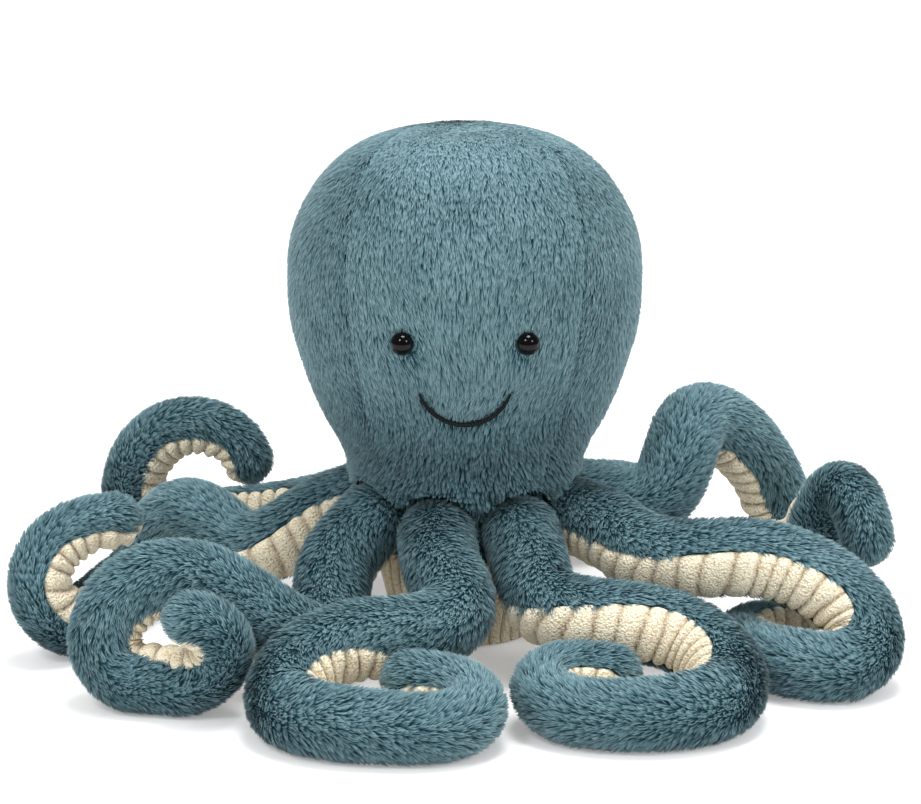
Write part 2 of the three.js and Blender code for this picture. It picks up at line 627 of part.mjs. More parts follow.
// Frames along the arm: place, direction, cord side, the bend towards its inner side, the radius there and how far
// the two edges of the plush stand from the middle of the cord side.
function armFrames(arm) {
  const line = middleLine(arm);
  const runs = ringRuns(line, arm.rings ?? ARM_RINGS);
  const frames = runs.map((run) => {
    const { place, side } = onLine(line, run);
    const before = onLine(line, Math.max(run - EASE_STEP, 0)).place;
    const after = onLine(line, run + EASE_STEP).place;
    const ahead = after.clone().sub(before).normalize();
    const back = place.clone().sub(before).normalize();
    const bend = after.clone().sub(place).normalize().sub(back).divideScalar(EASE_STEP);
    const radius = armRadius(run);
    const rest = radius * Math.cos(radians(180 - CORD_HALF_ANGLE) / (PLUSH_POINTS - 1)) - FLOOR_FLAT;
    place.setZ(Math.max(place.z, rest - ROOT_HEIGHT));
    side.addScaledVector(ahead, -side.dot(ahead)).normalize();
    return { place, ahead, side, bend: run === 0 ? bend.set(0, 0, 0) : bend, radius, lip: radians(CORD_HALF_ANGLE) };
  });
  const cap = (frame, way, angle, lip) => ({
    ...frame,
    place: frame.place.clone().addScaledVector(frame.ahead, way * frame.radius * Math.sin(radians(angle))),
    bend: new THREE.Vector3(),
    radius: frame.radius * Math.cos(radians(angle)),
    lip: radians(lip),
  });
  const first = frames[0];
  const last = frames[frames.length - 1];
  return {
    rootCaps: ROOT_CAP_ANGLES.map((angle, k) => cap(first, -1, angle, CAP_LIP_ANGLES[1 - k])),
    body: frames,
    tipCaps: TIP_CAP_ANGLES.map((angle, k) => cap(last, 1, angle, CAP_LIP_ANGLES[k])),
  };
}

// A point of the arm's section at an angle from the middle of the cord side, depth under the outer surface. The
// inside of a tight bend is drawn in, so that rings don't cross, and the floor side is flat.
function sectionPoint({ place, ahead, side, bend, radius }, angle, depth, shrink = 1) {
  const over = new THREE.Vector3().crossVectors(ahead, side);
  const out = side.clone().multiplyScalar(Math.cos(angle)).addScaledVector(over, Math.sin(angle));
  const inward = out.dot(bend);
  const reach = inward > 0 ? Math.min(radius, PINCH_SHARE / inward) : radius;
  const point = place.clone().addScaledVector(out, Math.max((reach - depth) * shrink, LIP));
  return point.setZ(Math.max(point.z, -ROOT_HEIGHT));
}

function spread(count, from, to) {
  return Array.from({ length: count }, (_, k) => THREE.MathUtils.lerp(from, to, k / (count - 1)));
}

// The plush, wrapped round the back of the arm and closed over its two ends.
function armPlush({ rootCaps, body, tipCaps }) {
  const all = [...rootCaps, ...body, ...tipCaps];
  const rings = all.map((frame, k) => {
    const end = k === 0 || k === all.length - 1;
    const angles = spread(PLUSH_POINTS, frame.lip, 2 * Math.PI - frame.lip);
    const depth = end ? frame.radius : PLUSH_THICKNESS;
    return [
      ...angles.map((angle) => sectionPoint(frame, angle, 0)),
      ...angles.reverse().map((angle) => sectionPoint(frame, angle, depth)),
    ];
  });
  return loft(rings, bandCap(PLUSH_POINTS));
}

// The strip of ribbed cord along the inside of the curl.
function armCord({ body }) {
  const rings = body.map((frame) => {
    const edge = frame.lip - LIP_GAP / (frame.radius - CORD_THICKNESS);
    const angles = spread(CORD_POINTS, -edge, edge);
    return [
      ...angles.map((angle) => sectionPoint(frame, angle, 0)),
      ...angles.reverse().map((angle) => sectionPoint(frame, angle, CORD_THICKNESS)),
    ];
  });
  return loft(rings, bandCap(CORD_POINTS));
}

function armFilling({ body }) {
  const shrink = Math.cos(radians(180 - CORD_HALF_ANGLE) / (PLUSH_POINTS - 1));
  const rings = body.map((frame) => (
    spread(FILLING_SIDES + 1, 0, 2 * Math.PI).slice(1)
      .map((angle) => sectionPoint(frame, angle, PLUSH_THICKNESS + FILLING_GAP, shrink))
  ));
  return loft(rings, fanCap(FILLING_SIDES));
}

function makeArm(arm) {
  const frames = armFrames(arm);
  const group = new THREE.Group();
  group.position.copy(rootPlace(arm.turn));
  group.add(
    piece(`${arm.name}_plush`, armPlush(frames), 'plush'),
    piece(`${arm.name}_cord`, armCord(frames), 'cord'),
    piece(`${arm.name}_filling`, armFilling(frames), 'filling'),
  );
  return group;
}

// Whole

function makeHead(beds) {
  const group = new THREE.Group();
  const bore = new THREE.CylinderGeometry(
    SHANK_DIAMETER / 2 + SEAM_GAP, SHANK_DIAMETER / 2 + SEAM_GAP, 4 * PLUSH_THICKNESS, 12,
  );
  const pitDepth = SHANK_LENGTH + FIT_GAP - PLUSH_THICKNESS;
  const pit = new THREE.CylinderGeometry(
    WASHER_DIAMETER / 2 + FIT_GAP, WASHER_DIAMETER / 2 + FIT_GAP, pitDepth, 12,
  );
  const spots = [-1, 1].map(eyeSpot);
  const bores = spots.map((spot) => toManifold(bore, standing(spot, 0)));
  const pits = spots.map((spot) => toManifold(pit, standing(spot, -PLUSH_THICKNESS - pitDepth / 2)));
  for (const panel of PANELS) {
    const sockets = beds.flatMap(({ root, lifted }) => [root, ...lifted]);
    const tools = panel === PANELS[0] ? [...sockets, ...bores, ...pits] : sockets;
    group.add(piece(panel.name, cut(headPanel(panel), tools), 'plush'));
  }
  group.add(piece('head_filling', cut(headFilling(), pits), 'filling'));
  for (const [k, side] of ['left', 'right'].entries()) {
    const eye = piece(`eye_${side}`, eyeGeometry(), 'eye');
    eye.applyMatrix4(standing(spots[k], SEAM_GAP));
    const washer = piece(`eye_washer_${side}`, washerGeometry(), 'washer');
    washer.applyMatrix4(standing(spots[k], -PLUSH_THICKNESS - FIT_GAP - WASHER_THICKNESS));
    group.add(eye, washer);
  }
  group.add(piece('mouth_stitch', mouthGeometry(), 'thread'));
  return group;
}

const octopus = new THREE.Group();
const beds = rootBeds();
octopus.add(
  makeHead(beds),
  piece('base_cup', cut(baseCup(), beds.map(({ root }) => root)), 'cord'),
  piece('bean_bag', beanBag(), 'beans'),
  ...ARMS.map(makeArm),
);

export default octopus;
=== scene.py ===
"""A long-pile plush octopus on a pale floor.

Its shapes are worked out in millimetres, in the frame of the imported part, and become metres in the meshes.
The head and the arms are backing skins that carry a pile of fibres. The arms' inner sides are ribbed cord.
"""

import itertools

import bpy
import numpy as np
from mathutils import Matrix, Vector


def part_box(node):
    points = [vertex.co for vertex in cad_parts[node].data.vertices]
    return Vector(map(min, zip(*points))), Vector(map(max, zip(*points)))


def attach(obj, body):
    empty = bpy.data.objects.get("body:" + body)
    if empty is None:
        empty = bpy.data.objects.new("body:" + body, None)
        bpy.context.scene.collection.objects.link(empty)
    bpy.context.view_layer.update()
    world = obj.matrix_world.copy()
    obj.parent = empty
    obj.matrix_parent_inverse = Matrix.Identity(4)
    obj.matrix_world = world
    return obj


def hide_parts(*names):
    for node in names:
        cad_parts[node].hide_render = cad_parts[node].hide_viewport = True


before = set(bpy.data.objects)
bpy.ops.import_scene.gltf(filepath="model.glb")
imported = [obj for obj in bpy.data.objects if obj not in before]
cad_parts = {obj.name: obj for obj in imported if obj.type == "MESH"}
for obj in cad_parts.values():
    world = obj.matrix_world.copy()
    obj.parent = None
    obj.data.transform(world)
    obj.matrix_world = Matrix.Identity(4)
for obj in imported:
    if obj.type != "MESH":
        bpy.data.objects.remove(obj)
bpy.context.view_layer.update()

MM = 0.001

# Head, as in the solids
HEAD_RADIUS = 84
HEAD_CENTRE_HEIGHT = 165
HEAD_PROFILE_SHARES = np.array([
    (0, 0.94), (0.155, 1.022), (0.22, 1.05), (0.31, 1.047), (0.39, 1.035), (0.47, 1.003), (0.555, 0.993),
    (0.62, 0.995), (0.695, 1.027), (0.765, 1.08), (0.8, 1.145), (0.834, 1.275),
])
STUFFING_DEPTH = 8
STUFFING_FOOT_RADIUS = 44
STUFFING_FOOT_HEIGHT = 82
PANEL_START_SHARE = 0.006
PANEL_END_SHARE = 0.834
CROWN_TILT_SHARE = 0.23
TILT_END_SHARE = 0.6
SEAM_DIP = 1.8
PANELS = {
    "head_front": (-41, 41), "head_right": (41, 115), "head_back_right": (115, 180),
    "head_back_left": (180, 245), "head_left": (245, 319),
}
SKIN_THICKNESS = 1.2

# Face
EYE_RADIUS = 5.3
EYE_DOME = 5.2
EYE_RIM = 1.2
EYE_SPACING = 56
EYE_HEIGHT = 160
EYE_LIFT = 0.2
EYE_CLEARING = 6
SHANK_RADIUS = 1.6
SHANK_LENGTH = 8.2
MOUTH_WIDTH = 40.5
MOUTH_DROP = 15
MOUTH_TOP = 136
MOUTH_THREAD_RADIUS = 1.05
STITCH_PITCH = 1.5
CHIN = np.array([0, -66, 104])

# Base and arms, as in the solids
BASE_OUTLINE = np.array([(4, 34.6), (30, 41), (60, 43)])
BASE_TOP_HEIGHT = 79.5
BASE_RIBS = 36
BASE_RIB_RISE = 1.4
COLLAR_START_HEIGHT = 44
COLLAR_INSET = 1.5
COLLAR_RADIUS = 43
BAG_CLEARANCE = 1.5
ROOT_RING_RADIUS = 52
ROOT_HEIGHT = 60
ROOT_BED_RADIUS = 19.8
ARM_LENGTH = 295
RADIUS_STOP_SHARES = (0, 0.45, 0.8, 1)
RADIUS_STOPS = (19, 18.8, 16, 13.5)
EASE_STEP = 3
EASE_PASSES = 14
SIDE_EASE_PASSES = 60
PINCH_SHARE = 0.92
REST_SHARE = 0.93
FLOOR_FLAT = 0.5
ARM_STUFFING_DEPTH = 7

# Pile: fibres on a backing that lies this deep under the outer surface
PILE_DEPTH = 2.4
PILE_RISE = 3.7
PILE_REACH = 4.6
FIBRE_WIDTH = 1
FIBRES_PER_SQUARE_MM = 1.7
HEAD_FIBRE_WIDTH = 0.8
HEAD_PILE_DEPTH = 2.1
HEAD_RISE_SHARE = 0.5
HEAD_WILD_SHARE = 0.5
UNDER_FACE_TOP = 140
UNDER_FACE_FADE = 40
HEAD_FIBRES_PER_SQUARE_MM = 2.4
COLLAR_FIBRES_PER_SQUARE_MM = 0.7
TUFT = np.array([1.8, 2.7])
TUFT_PULL_SHARE = 0.5
SHORTEST_SHARE = 0.12
WANDER_SIZE = 7
SWIRL_SIZE = 26
PATCH_SIZE = 22
PILE_FLOOR = 0.2
SKIN_FLOOR = 0.25

# Cord: ribs across the inner side of each arm
RIB_PITCH = 9
RIB_RISE = 3
CORD_SINK = 2.4
CORD_THICKNESS = 2.6
RAGGED_EDGE = 0.15

# Camera and its frame
LOOK_AT = np.array([-2, 0, 112])
CAMERA_DISTANCE = 1400
CAMERA_ELEVATION = np.radians(15)
FOCAL_LENGTH_PX = 2940
FRAME_WIDTH_PX = 921
SENSOR_WIDTH = 36

# Stage: each lamp's place and size in metres and its power in watts
LAMPS = {
    "key": ((-0.9, -1.5, 1.9), 0.5, 16),
    "fill": ((1.4, -1.2, 1.3), 0.5, 9),
    "top": ((0.2, -0.1, 2.2), 0.8, 30),
}
LAMP_TARGET = Vector((0, 0, 0.1))
FLOOR_REACH = 4000
FLOOR_COLOUR = (0.8, 0.8, 0.8, 1)
FLOOR_GLOW = 0.25

# Each arm: where its root lies round the body in degrees from the face, then its stops. A stop is a place,
# [right, back, height] in thousandths of ARM_LENGTH, and the way its cord side looks there, in tenths.
ARMS = {
    "arm_front_left": (-14.5, [
        (8, -82, 175, 0, 3, -10), (35, -140, 145, 0, 5, -9), (19, -183, 125, -6, 2, -8),
        (-41, -208, 115, 0, -6, -8), (-128, -222, 115, 1, -7, -7), (-203, -267, 90, 7, -6, -2),
        (-228, -337, 55, 9.5, 1, 2), (-178, -397, 50, 5, 8, 2), (-83, -422, 50, 0, 9.5, 1),
        (7, -423, 50, -1, 9.5, 1), (57, -397, 55, -6, 8, 0), (60, -347, 66, -10, 0, -1),
        (14, -307, 78, -5, -7, -5), (-53, -308, 84, 0, -7, -7), (-153, -322, 80, 0, -7, -7),
    ]),
    "arm_front_right": (30.5, [
        (14, -58, 168, 1, 2, -10), (29, -116, 132, 0, -9, -5), (86, -157, 122, 0, -10, -2),
        (170, -175, 120, -1, -10, 0), (258, -196, 100, -4, -8.5, 1), (308, -266, 65, -9.5, -2, 2),
        (288, -346, 50, -8, 5, 2), (218, -386, 50, -2, 9.5, 2), (128, -391, 50, 0, 9.5, 2),
        (53, -366, 50, 5, 8, 1), (18, -316, 65, 10, 1, 0), (48, -273, 75, 7, -7, -3),
        (108, -266, 75, 0, -9, -4), (178, -286, 70, 0, -9, -4),
    ]),
    "arm_right_front": (75.5, [
        (52, -46, 200, 0, -7, -7), (106, -117, 180, 0, -8, -6), (185, -160, 181, 0, -9, -4),
        (283, -173, 188, 0, -9, -4), (377, -188, 160, -3, -8.5, -3), (441, -213, 113, -8, -4, 2),
        (454, -256, 68, -9, 3, 3), (402, -303, 50, 0, 9, 3), (322, -273, 50, 2, 9, 2),
        (272, -223, 50, 9, 3, 2), (262, -163, 50, 9, -4, 2), (302, -118, 50, 2, -9, 3),
        (362, -103, 50, 0, -10, 3), (422, -103, 50, 0, -10, 3),
    ]),
    "arm_right_back": (120.5, [
        (80, 15, 180, 0, 8, -6), (140, 11, 172, 0, 9, -4), (188, 19, 206, -3, 9, -2),
        (210, 43, 268, -3, 5, -7), (235, 90, 306, -2, 0, -10), (281, 118, 290, -5, -4, -8),
        (334, 138, 236, -8, -5, -5), (373, 156, 172, -8.5, -4, -2), (398, 148, 108, -9, -2, 0),
        (413, 100, 76, -9, 0, 2), (424, 44, 92, -8.5, 3, 2), (439, -4, 158, -6, 6, 1),
        (466, -48, 228, -3, 7, -5), (493, -107, 202, -1, 9, -4), (502, -144, 132, -2, 9.5, -1),
        (489, -152, 60, -4, 9, 2), (431, -132, 45, -2, 9, 3),
    ]),
    "arm_back_right": (165.5, [
        (30, 90, 170, 0, -2, -10), (97, 163, 130, -2, 3, -9), (190, 200, 90, -3, 9, -2),
        (281, 263, 65, -9, 3, 3), (288, 357, 50, -9, -3, 3), (208, 427, 50, -2, -9, 4),
        (98, 427, 50, 2, -9, 4), (23, 367, 50, 9, -3, 3), (23, 292, 50, 9, 4, 3), (83, 262, 50, 2, 9, 3),
        (153, 292, 50, -4, 9, 3), (193, 317, 50, -5, 8, 3),
    ]),
    "arm_back_left": (-149.5, [
        (-35, 80, 170, -1, -9, 2), (-108, 148, 122, 0, -9, 3.5), (-221, 197, 80, 0, -9, 3.5),
        (-330, 225, 60, 2, -9, 4), (-428, 216, 55, 6, -5, 6), (-475, 169, 80, 9, -1, 5),
        (-483, 128, 143, 10, -3, 0), (-463, 105, 221, 7, -4, -6), (-403, 91, 273, 2, -4, -9.5),
        (-335, 86, 273, -2, -4, -9.5), (-286, 81, 240, -8, -3, -6), (-272, 76, 195, -9.5, -2, -1),
    ]),
    "arm_left_back": (-104.5, [
        (-70, 0, 175, 0, -9.5, -3), (-133, -13, 135, 0, -9.5, -3), (-190, 0, 112, 0, -7, -7),
        (-238, 31, 140, 0, -4, -9), (-287, 58, 165, 2, 0, -10), (-328, 83, 135, 7, 0, -5),
        (-353, 75, 88, 9, -4, 2), (-372, 21, 52, 8, -5, 6), (-397, -42, 45, 7, 0, 8),
        (-422, -117, 45, 7, 0, 8), (-452, -187, 50, 8, 1, 7), (-494, -222, 90, 9, -2, 2),
        (-504, -217, 145, 9, -4, -2), (-477, -197, 195, 6, -5, -6), (-422, -182, 220, 2, -5, -9),
        (-352, -177, 225, 0, -5, -9),
    ]),
    "arm_left_front": (-59.5, [
        (-52, -52, 157, 5, 5, -7), (-59, -123, 100, 6, 3, -8), (-69, -183, 70, 2, 1, -10),
        (-120, -210, 90, -5, -1, -8), (-191, -223, 145, -5, -1, -9), (-261, -238, 190, -2, 0, -9.5),
        (-336, -253, 190, 4, 0, -8), (-391, -268, 140, 9, 0, -3), (-396, -283, 75, 9, 2, 3),
        (-346, -298, 45, 4, 3, 8.5), (-276, -313, 45, -2, 2, 9.5), (-216, -328, 80, -9, 0, 4),
        (-206, -345, 130, -9.5, -1, -1), (-241, -363, 170, -3, -1, -9), (-301, -368, 165, 3, -1, -10),
    ]),
}


# Numbers

def unit(vectors):
    """The vectors at length one."""
    return vectors / np.maximum(np.linalg.norm(vectors, axis=-1, keepdims=True), 1e-9)


def dot(one, other):
    """The dot products of two rows of vectors, each kept as a row of one number."""
    return (one * other).sum(-1, keepdims=True)


def square_to(axis, vectors):
    """The parts of the vectors square to the axis, at length one."""
    return unit(vectors - dot(vectors, axis) * axis)


def step(low, high, x):
    """Rises smoothly from 0 at low to 1 at high."""
    t = np.clip((x - low) / (high - low), 0, 1)
    return t * t * (3 - 2 * t)


def chance(cells, seed):
    """A random number from 0 to 1 for each cell: the far digits of a sine of its weighted sum."""
    weights = np.array([12.9898, 78.233, 37.719])[: cells.shape[-1]]
    return np.modf(np.abs(np.sin(cells @ weights + 4.137 * seed)) * 43758.5453)[0]


def drift(points, size, seed):
    """Smooth noise from -1 to 1 that changes over about size: a smooth blend of the cell corners' chances."""
    scaled = points / size
    low = np.floor(scaled)
    share = step(0, 1, scaled - low)
    total = 0
    for corner in itertools.product((0, 1), repeat=points.shape[-1]):
        weight = np.prod(np.where(corner, share, 1 - share), axis=-1)
        total = total + weight * chance(low + corner, seed)
    return 2 * total - 1


def nearest(places, points):
    """The distance from each place of a grid to the nearest of the points."""
    return np.linalg.norm(places[:, :, None] - points, axis=-1).min(-1)


def cubic(start, end, slope, end_slope, t):
    """The cubic with these ends and slopes, at t from 0 to 1."""
    cube = 2 * start - 2 * end + slope + end_slope
    square = 3 * end - 3 * start - 2 * slope - end_slope
    return cube * t**3 + square * t**2 + slope * t + start


def circle(count):
    """The angles of count places round a circle."""
    return np.linspace(0, 2 * np.pi, count, endpoint=False)


def round_axis(radius, turn, height):
    """The points at a radius from the toy's upright axis, turned round from the face, at a height."""
    return np.stack(np.broadcast_arrays(radius * np.sin(turn), -radius * np.cos(turn), height), -1)


def lengths(points):
    """The run of length to each point of a line."""
    return np.concatenate([[0], np.cumsum(np.linalg.norm(np.diff(points, axis=0), axis=-1))])


# Meshes

def grid_faces(rows, columns, round_about=False):
    """The quads of a grid of points in row order. round_about joins the last column to the first."""
    row, column = np.meshgrid(np.arange(rows - 1), np.arange(columns - (not round_about)), indexing="ij")
    a = row * columns + column
    b = row * columns + (column + 1) % columns
    return np.stack([a, b, b + columns, a + columns], -1).reshape(-1, 4)


def add_object(name, data):
    """A new object of the scene that holds the data."""
    thing = bpy.data.objects.new(name, data)
    bpy.context.scene.collection.objects.link(thing)
    return thing


def make_piece(name, points, faces, material):
    """A mesh object from points in millimetres and a list of face arrays."""
    mesh = bpy.data.meshes.new(name)
    mesh.vertices.add(len(points))
    mesh.vertices.foreach_set("co", (points * MM).astype(np.float32).ravel())
    sides = np.concatenate([np.full(len(part), part.shape[1]) for part in faces])
    mesh.loops.add(int(sides.sum()))
    mesh.loops.foreach_set("vertex_index", np.concatenate([part.ravel() for part in faces]).astype(np.int32))
    mesh.polygons.add(len(sides))
    mesh.polygons.foreach_set("loop_start", (np.cumsum(sides) - sides).astype(np.int32))
    mesh.polygons.foreach_set("use_smooth", np.full(len(sides), True))
    mesh.update()
    mesh.materials.append(material)
    return add_object(name, mesh)


def closed_tube(name, rings, material):
    """A tube through rings of points. A point at the middle of each end ring closes it."""
    rows, columns = rings.shape[:2]
    points = np.concatenate([rings.reshape(-1, 3), rings[:1].mean(1), rings[-1:].mean(1)])
    layer = rows * columns
    here = np.arange(columns)
    ahead = np.roll(here, -1)
    first = np.stack([ahead, here, np.full(columns, layer)], -1)
    last = np.stack([here + layer - columns, ahead + layer - columns, np.full(columns, layer + 1)], -1)
    faces = [grid_faces(rows, columns, round_about=True), np.concatenate([first, last])]
    return make_piece(name, points, outward(points, faces), material)


def closed_shell(name, outer, inner, material):
    """Two grids of points, an outer and an inner one, joined along their rims."""
    rows, columns = outer.shape[:2]
    points = np.concatenate([outer.reshape(-1, 3), inner.reshape(-1, 3)])
    layer = rows * columns
    index = np.arange(layer).reshape(rows, columns)
    rim = np.concatenate([index[0], index[1:, -1], index[-1, -2::-1], index[-2:0:-1, 0]])
    ahead = np.roll(rim, -1)
    skirt = np.stack([ahead, rim, rim + layer, ahead + layer], -1)
    quads = grid_faces(rows, columns)
    faces = [np.concatenate([quads, quads[:, ::-1] + layer, skirt])]
    return make_piece(name, points, outward(points, faces), material)


def outward(points, faces):
    """The faces, turned round if they enclose a negative volume."""
    volume = 0
    for part in faces:
        corners = points[part]
        for k in range(1, part.shape[1] - 1):
            volume += dot(corners[:, 0], np.cross(corners[:, k], corners[:, k + 1])).sum()
    return [part[:, ::-1] for part in faces] if volume < 0 else faces


def mark(piece, name, values):
    """Stores one number for each point of the piece."""
    attribute = piece.data.attributes.new(name, "FLOAT", "POINT")
    attribute.data.foreach_set("value", values.astype(np.float32).ravel())


def dress(piece, body, node=None):
    """Makes the piece ride on its body and stand for the node of the part."""
    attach(piece, body)
    if node:
        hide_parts(node)


# Materials

class Signal:
    """A shader value. Sums, products and powers of it add Math nodes, and make adds any other node."""

    def __init__(self, tree, socket=None):
        self.tree = tree
        self.socket = socket

    def make(self, kind, inputs=None, output=0, **settings):
        """Adds a node with its settings, and its inputs as numbers or signals. Gives one output."""
        node = self.tree.nodes.new(f"ShaderNode{kind}")
        for key, value in settings.items():
            setattr(node, key, value)
        for key, value in (inputs or {}).items():
            if isinstance(value, Signal):
                self.tree.links.new(value.socket, node.inputs[key])
            else:
                node.inputs[key].default_value = value
        return Signal(self.tree, node.outputs[output])

    def maths(self, operation, other):
        """One Math node on this value and the other."""
        return self.make("Math", {0: self, 1: other}, operation=operation)

    def __add__(self, other):
        return self.maths("ADD", other)

    def __rsub__(self, other):
        return self * -1 + other

    def __mul__(self, other):
        return self.maths("MULTIPLY", other)

    def __pow__(self, other):
        return self.maths("POWER", other)

    __rmul__ = __mul__

    def ramp(self, *stops):
        """The colour along a ramp of (place, sRGB parts) stops."""
        colour = self.make("ValToRGB", {"Fac": self}, "Color")
        elements = colour.socket.node.color_ramp.elements
        while len(elements) < len(stops):
            elements.new(0.5)
        for element, (place, parts) in zip(elements, stops):
            element.position = place
            element.color = srgb(*parts)
        return colour

    def tint(self, colour, other):
        """The mix of two colours by this share."""
        mix = {"Factor": self, "A": colour, "B": other}
        return self.make("Mix", mix, "Result", data_type="RGBA")


def srgb(red, green, blue):
    """An opaque colour from its sRGB parts out of 255."""
    parts = np.array([red, green, blue]) / 255
    return (*np.where(parts <= 0.04045, parts / 12.92, ((parts + 0.055) / 1.055) ** 2.4), 1)


def make_material(name, roughness, **constants):
    """A material with one Principled shader. Gives it, and its tree as a signal."""
    material = bpy.data.materials.new(name)
    material.use_nodes = True
    shader = material.node_tree.nodes["Principled BSDF"]
    shader.inputs["Roughness"].default_value = roughness
    for key, value in constants.items():
        shader.inputs[key.replace("_", " ")].default_value = value
    return material, Signal(material.node_tree)


def wire(material, **signals):
    """Links signals to the sockets of the material's shader. Gives the material."""
    tree = material.node_tree
    for key, signal in signals.items():
        tree.links.new(signal.socket, tree.nodes["Principled BSDF"].inputs[key.replace("_", " ")])
    return material


def object_place(tree):
    """The place on the object, in metres."""
    return tree.make("TexCoord", output="Object")


def noise(tree, size, detail=3, output="Fac"):
    """Noise on the object whose features are about size millimetres."""
    inputs = {"Vector": object_place(tree), "Scale": 1 / (size * MM), "Detail": detail}
    return tree.make("TexNoise", inputs, output)


def cell_noise(tree, place, size, feature="F1"):
    """The distance from the middle of the nearest of many cells about size millimetres wide."""
    inputs = {"Vector": place, "Scale": 1 / (size * MM)}
    return tree.make("TexVoronoi", inputs, "Distance", feature=feature)


def bump(tree, height, depth):
    """A normal from a height of 0 to 1 over depth millimetres."""
    inputs = {"Height": height, "Distance": depth * MM, "Strength": 1}
    return tree.make("Bump", inputs, "Normal")


def field(tree, name):
    """A number that the piece holds for each point."""
    return tree.make("Attribute", output="Fac", attribute_name=name)


def pile_material():
    """Fibres run from a dark root to a pale tip, each by its own shade; the darkening towards the root is
    painted shade of the depths of the pile. The map holds the shade across and the place along the fibre
    upwards."""
    material, tree = make_material(
        "teal_pile", 0.8, Specular_IOR_Level=0.2, Sheen_Weight=0.35, Sheen_Roughness=0.45,
        Sheen_Tint=srgb(196, 216, 220))
    uv = tree.make("UVMap", uv_map="OFBake")
    shade, along = (tree.make("SeparateXYZ", {0: uv}, part) for part in ("X", "Y"))
    # Painted shade: each ramp darkens towards the root, where the pile is deep
    dull = along.ramp((0, (8, 30, 38)), (0.3, (34, 68, 79)), (0.6, (70, 106, 116)), (1, (108, 142, 150)))
    pale = along.ramp((0, (20, 46, 55)), (0.3, (66, 104, 115)), (0.6, (122, 157, 166)), (1, (176, 206, 213)))
    return wire(material, Base_Color=shade.tint(dull, pale))


def backing_material():
    """The knitted backing between the fibres, with the fine loops of a knit. Its dark teal is painted shade,
    so that the gaps in the pile look deep.
    """
    material, tree = make_material("teal_backing", 0.95, Specular_IOR_Level=0.1)
    loops = cell_noise(tree, object_place(tree), 1.1)
    # Painted shade: the backing's dark teal stands for the deep gaps between the fibres
    colour = noise(tree, 6).ramp((0.3, (22, 46, 54)), (0.7, (44, 76, 86)))
    return wire(material, Base_Color=colour, Normal=bump(tree, loops, 0.5))


def cord_material():
    """Ribbed chenille: cream loops with tan between them, and painted shade, darker and browner, in the
    creases between the ribs. The crease attribute is 1 at the bottom of a crease."""
    material, tree = make_material("cream_cord", 0.92, Specular_IOR_Level=0.15, Sheen_Weight=0.25)
    bend = {0: noise(tree, 2.2, 2, "Color"), 1: [1.2 * MM] * 3, 2: object_place(tree)}
    bent = tree.make("VectorMath", bend, operation="MULTIPLY_ADD")
    loops = cell_noise(tree, bent, 1.15)
    mottle = noise(tree, 5)
    cloth = loops.ramp((0.15, (255, 248, 228)), (0.5, (248, 237, 210)), (0.9, (214, 194, 156)))
    warm = (mottle * 0.25).tint(cloth, srgb(232, 218, 188))
    # Painted shade in the creases between the ribs, by the crease attribute
    crease_shade = (field(tree, "crease") ** 1.5 * 0.8).tint(warm, srgb(138, 110, 78))
    return wire(material, Base_Color=crease_shade, Normal=bump(tree, (1 - loops) + 0.3 * mottle, 0.9))


def eye_material():
    """Polished black plastic."""
    material, tree = make_material("eye_black", 0.06, Specular_IOR_Level=0.25)
    return wire(material, Base_Color=noise(tree, 3).ramp((0.3, (4, 4, 5)), (0.7, (9, 8, 9))))


def thread_material():
    """Embroidery thread, with painted shade in the grooves between the stitches."""
    material, tree = make_material("mouth_thread", 0.55, Specular_IOR_Level=0.2)
    return wire(material, Base_Color=field(tree, "stitch").ramp((0, (3, 4, 6)), (1, (20, 24, 28))))


def stuffing_material():
    """White crimped fibre."""
    material, tree = make_material("white_stuffing", 1, Specular_IOR_Level=0.1)
    fibre = noise(tree, 2, detail=6)
    colour = fibre.ramp((0.3, (214, 212, 206)), (0.7, (248, 247, 243)))
    return wire(material, Base_Color=colour, Normal=bump(tree, fibre, 1.5))


def bean_material():
    """A cotton bag that shows the round beans in it, with painted shade between the beans."""
    material, tree = make_material("bean_cloth", 0.9, Specular_IOR_Level=0.2)
    beans = cell_noise(tree, object_place(tree), 4, "SMOOTH_F1")
    # Painted shade between the beans, where the bag sinks
    colour = beans.ramp((0, (226, 218, 200)), (1, (176, 166, 146)))
    return wire(material, Base_Color=colour, Normal=bump(tree, 1 - beans, 1.5))


def washer_material():
    """Moulded white plastic."""
    material, tree = make_material("washer_plastic", 0.45)
    grain = noise(tree, 1.5)
    colour = grain.ramp((0.3, (222, 222, 218)), (0.7, (238, 238, 235)))
    return wire(material, Base_Color=colour, Normal=bump(tree, grain, 0.05))


# Pile

def pile_bed(place, normal, nap, across, along, mapped, **shares):
    """A grid for pile to stand on. place and normal are the surface, nap the way its fibres lie, and across
    and along the ways in which the two lengths of mapped run, in millimetres. Shares that aren't given are
    the same all over: length, lean and rise of a whole fibre, wild of full disorder among the tufts, glow
    where the colour's ramp begins, which lightens the roots with painted light, bare of the places left out,
    and dark, painted shade taken off the tone, which is painted light where it is negative."""
    shares = {"length": 1, "lean": 1, "rise": 1, "wild": 1, "glow": 0, "bare": 0, "dark": 0, **shares}
    bed = {name: np.broadcast_to(share, (*place.shape[:2], 1)) for name, share in shares.items()}
    return dict(bed, place=place, normal=normal, nap=nap, across=across, along=along, mapped=mapped)


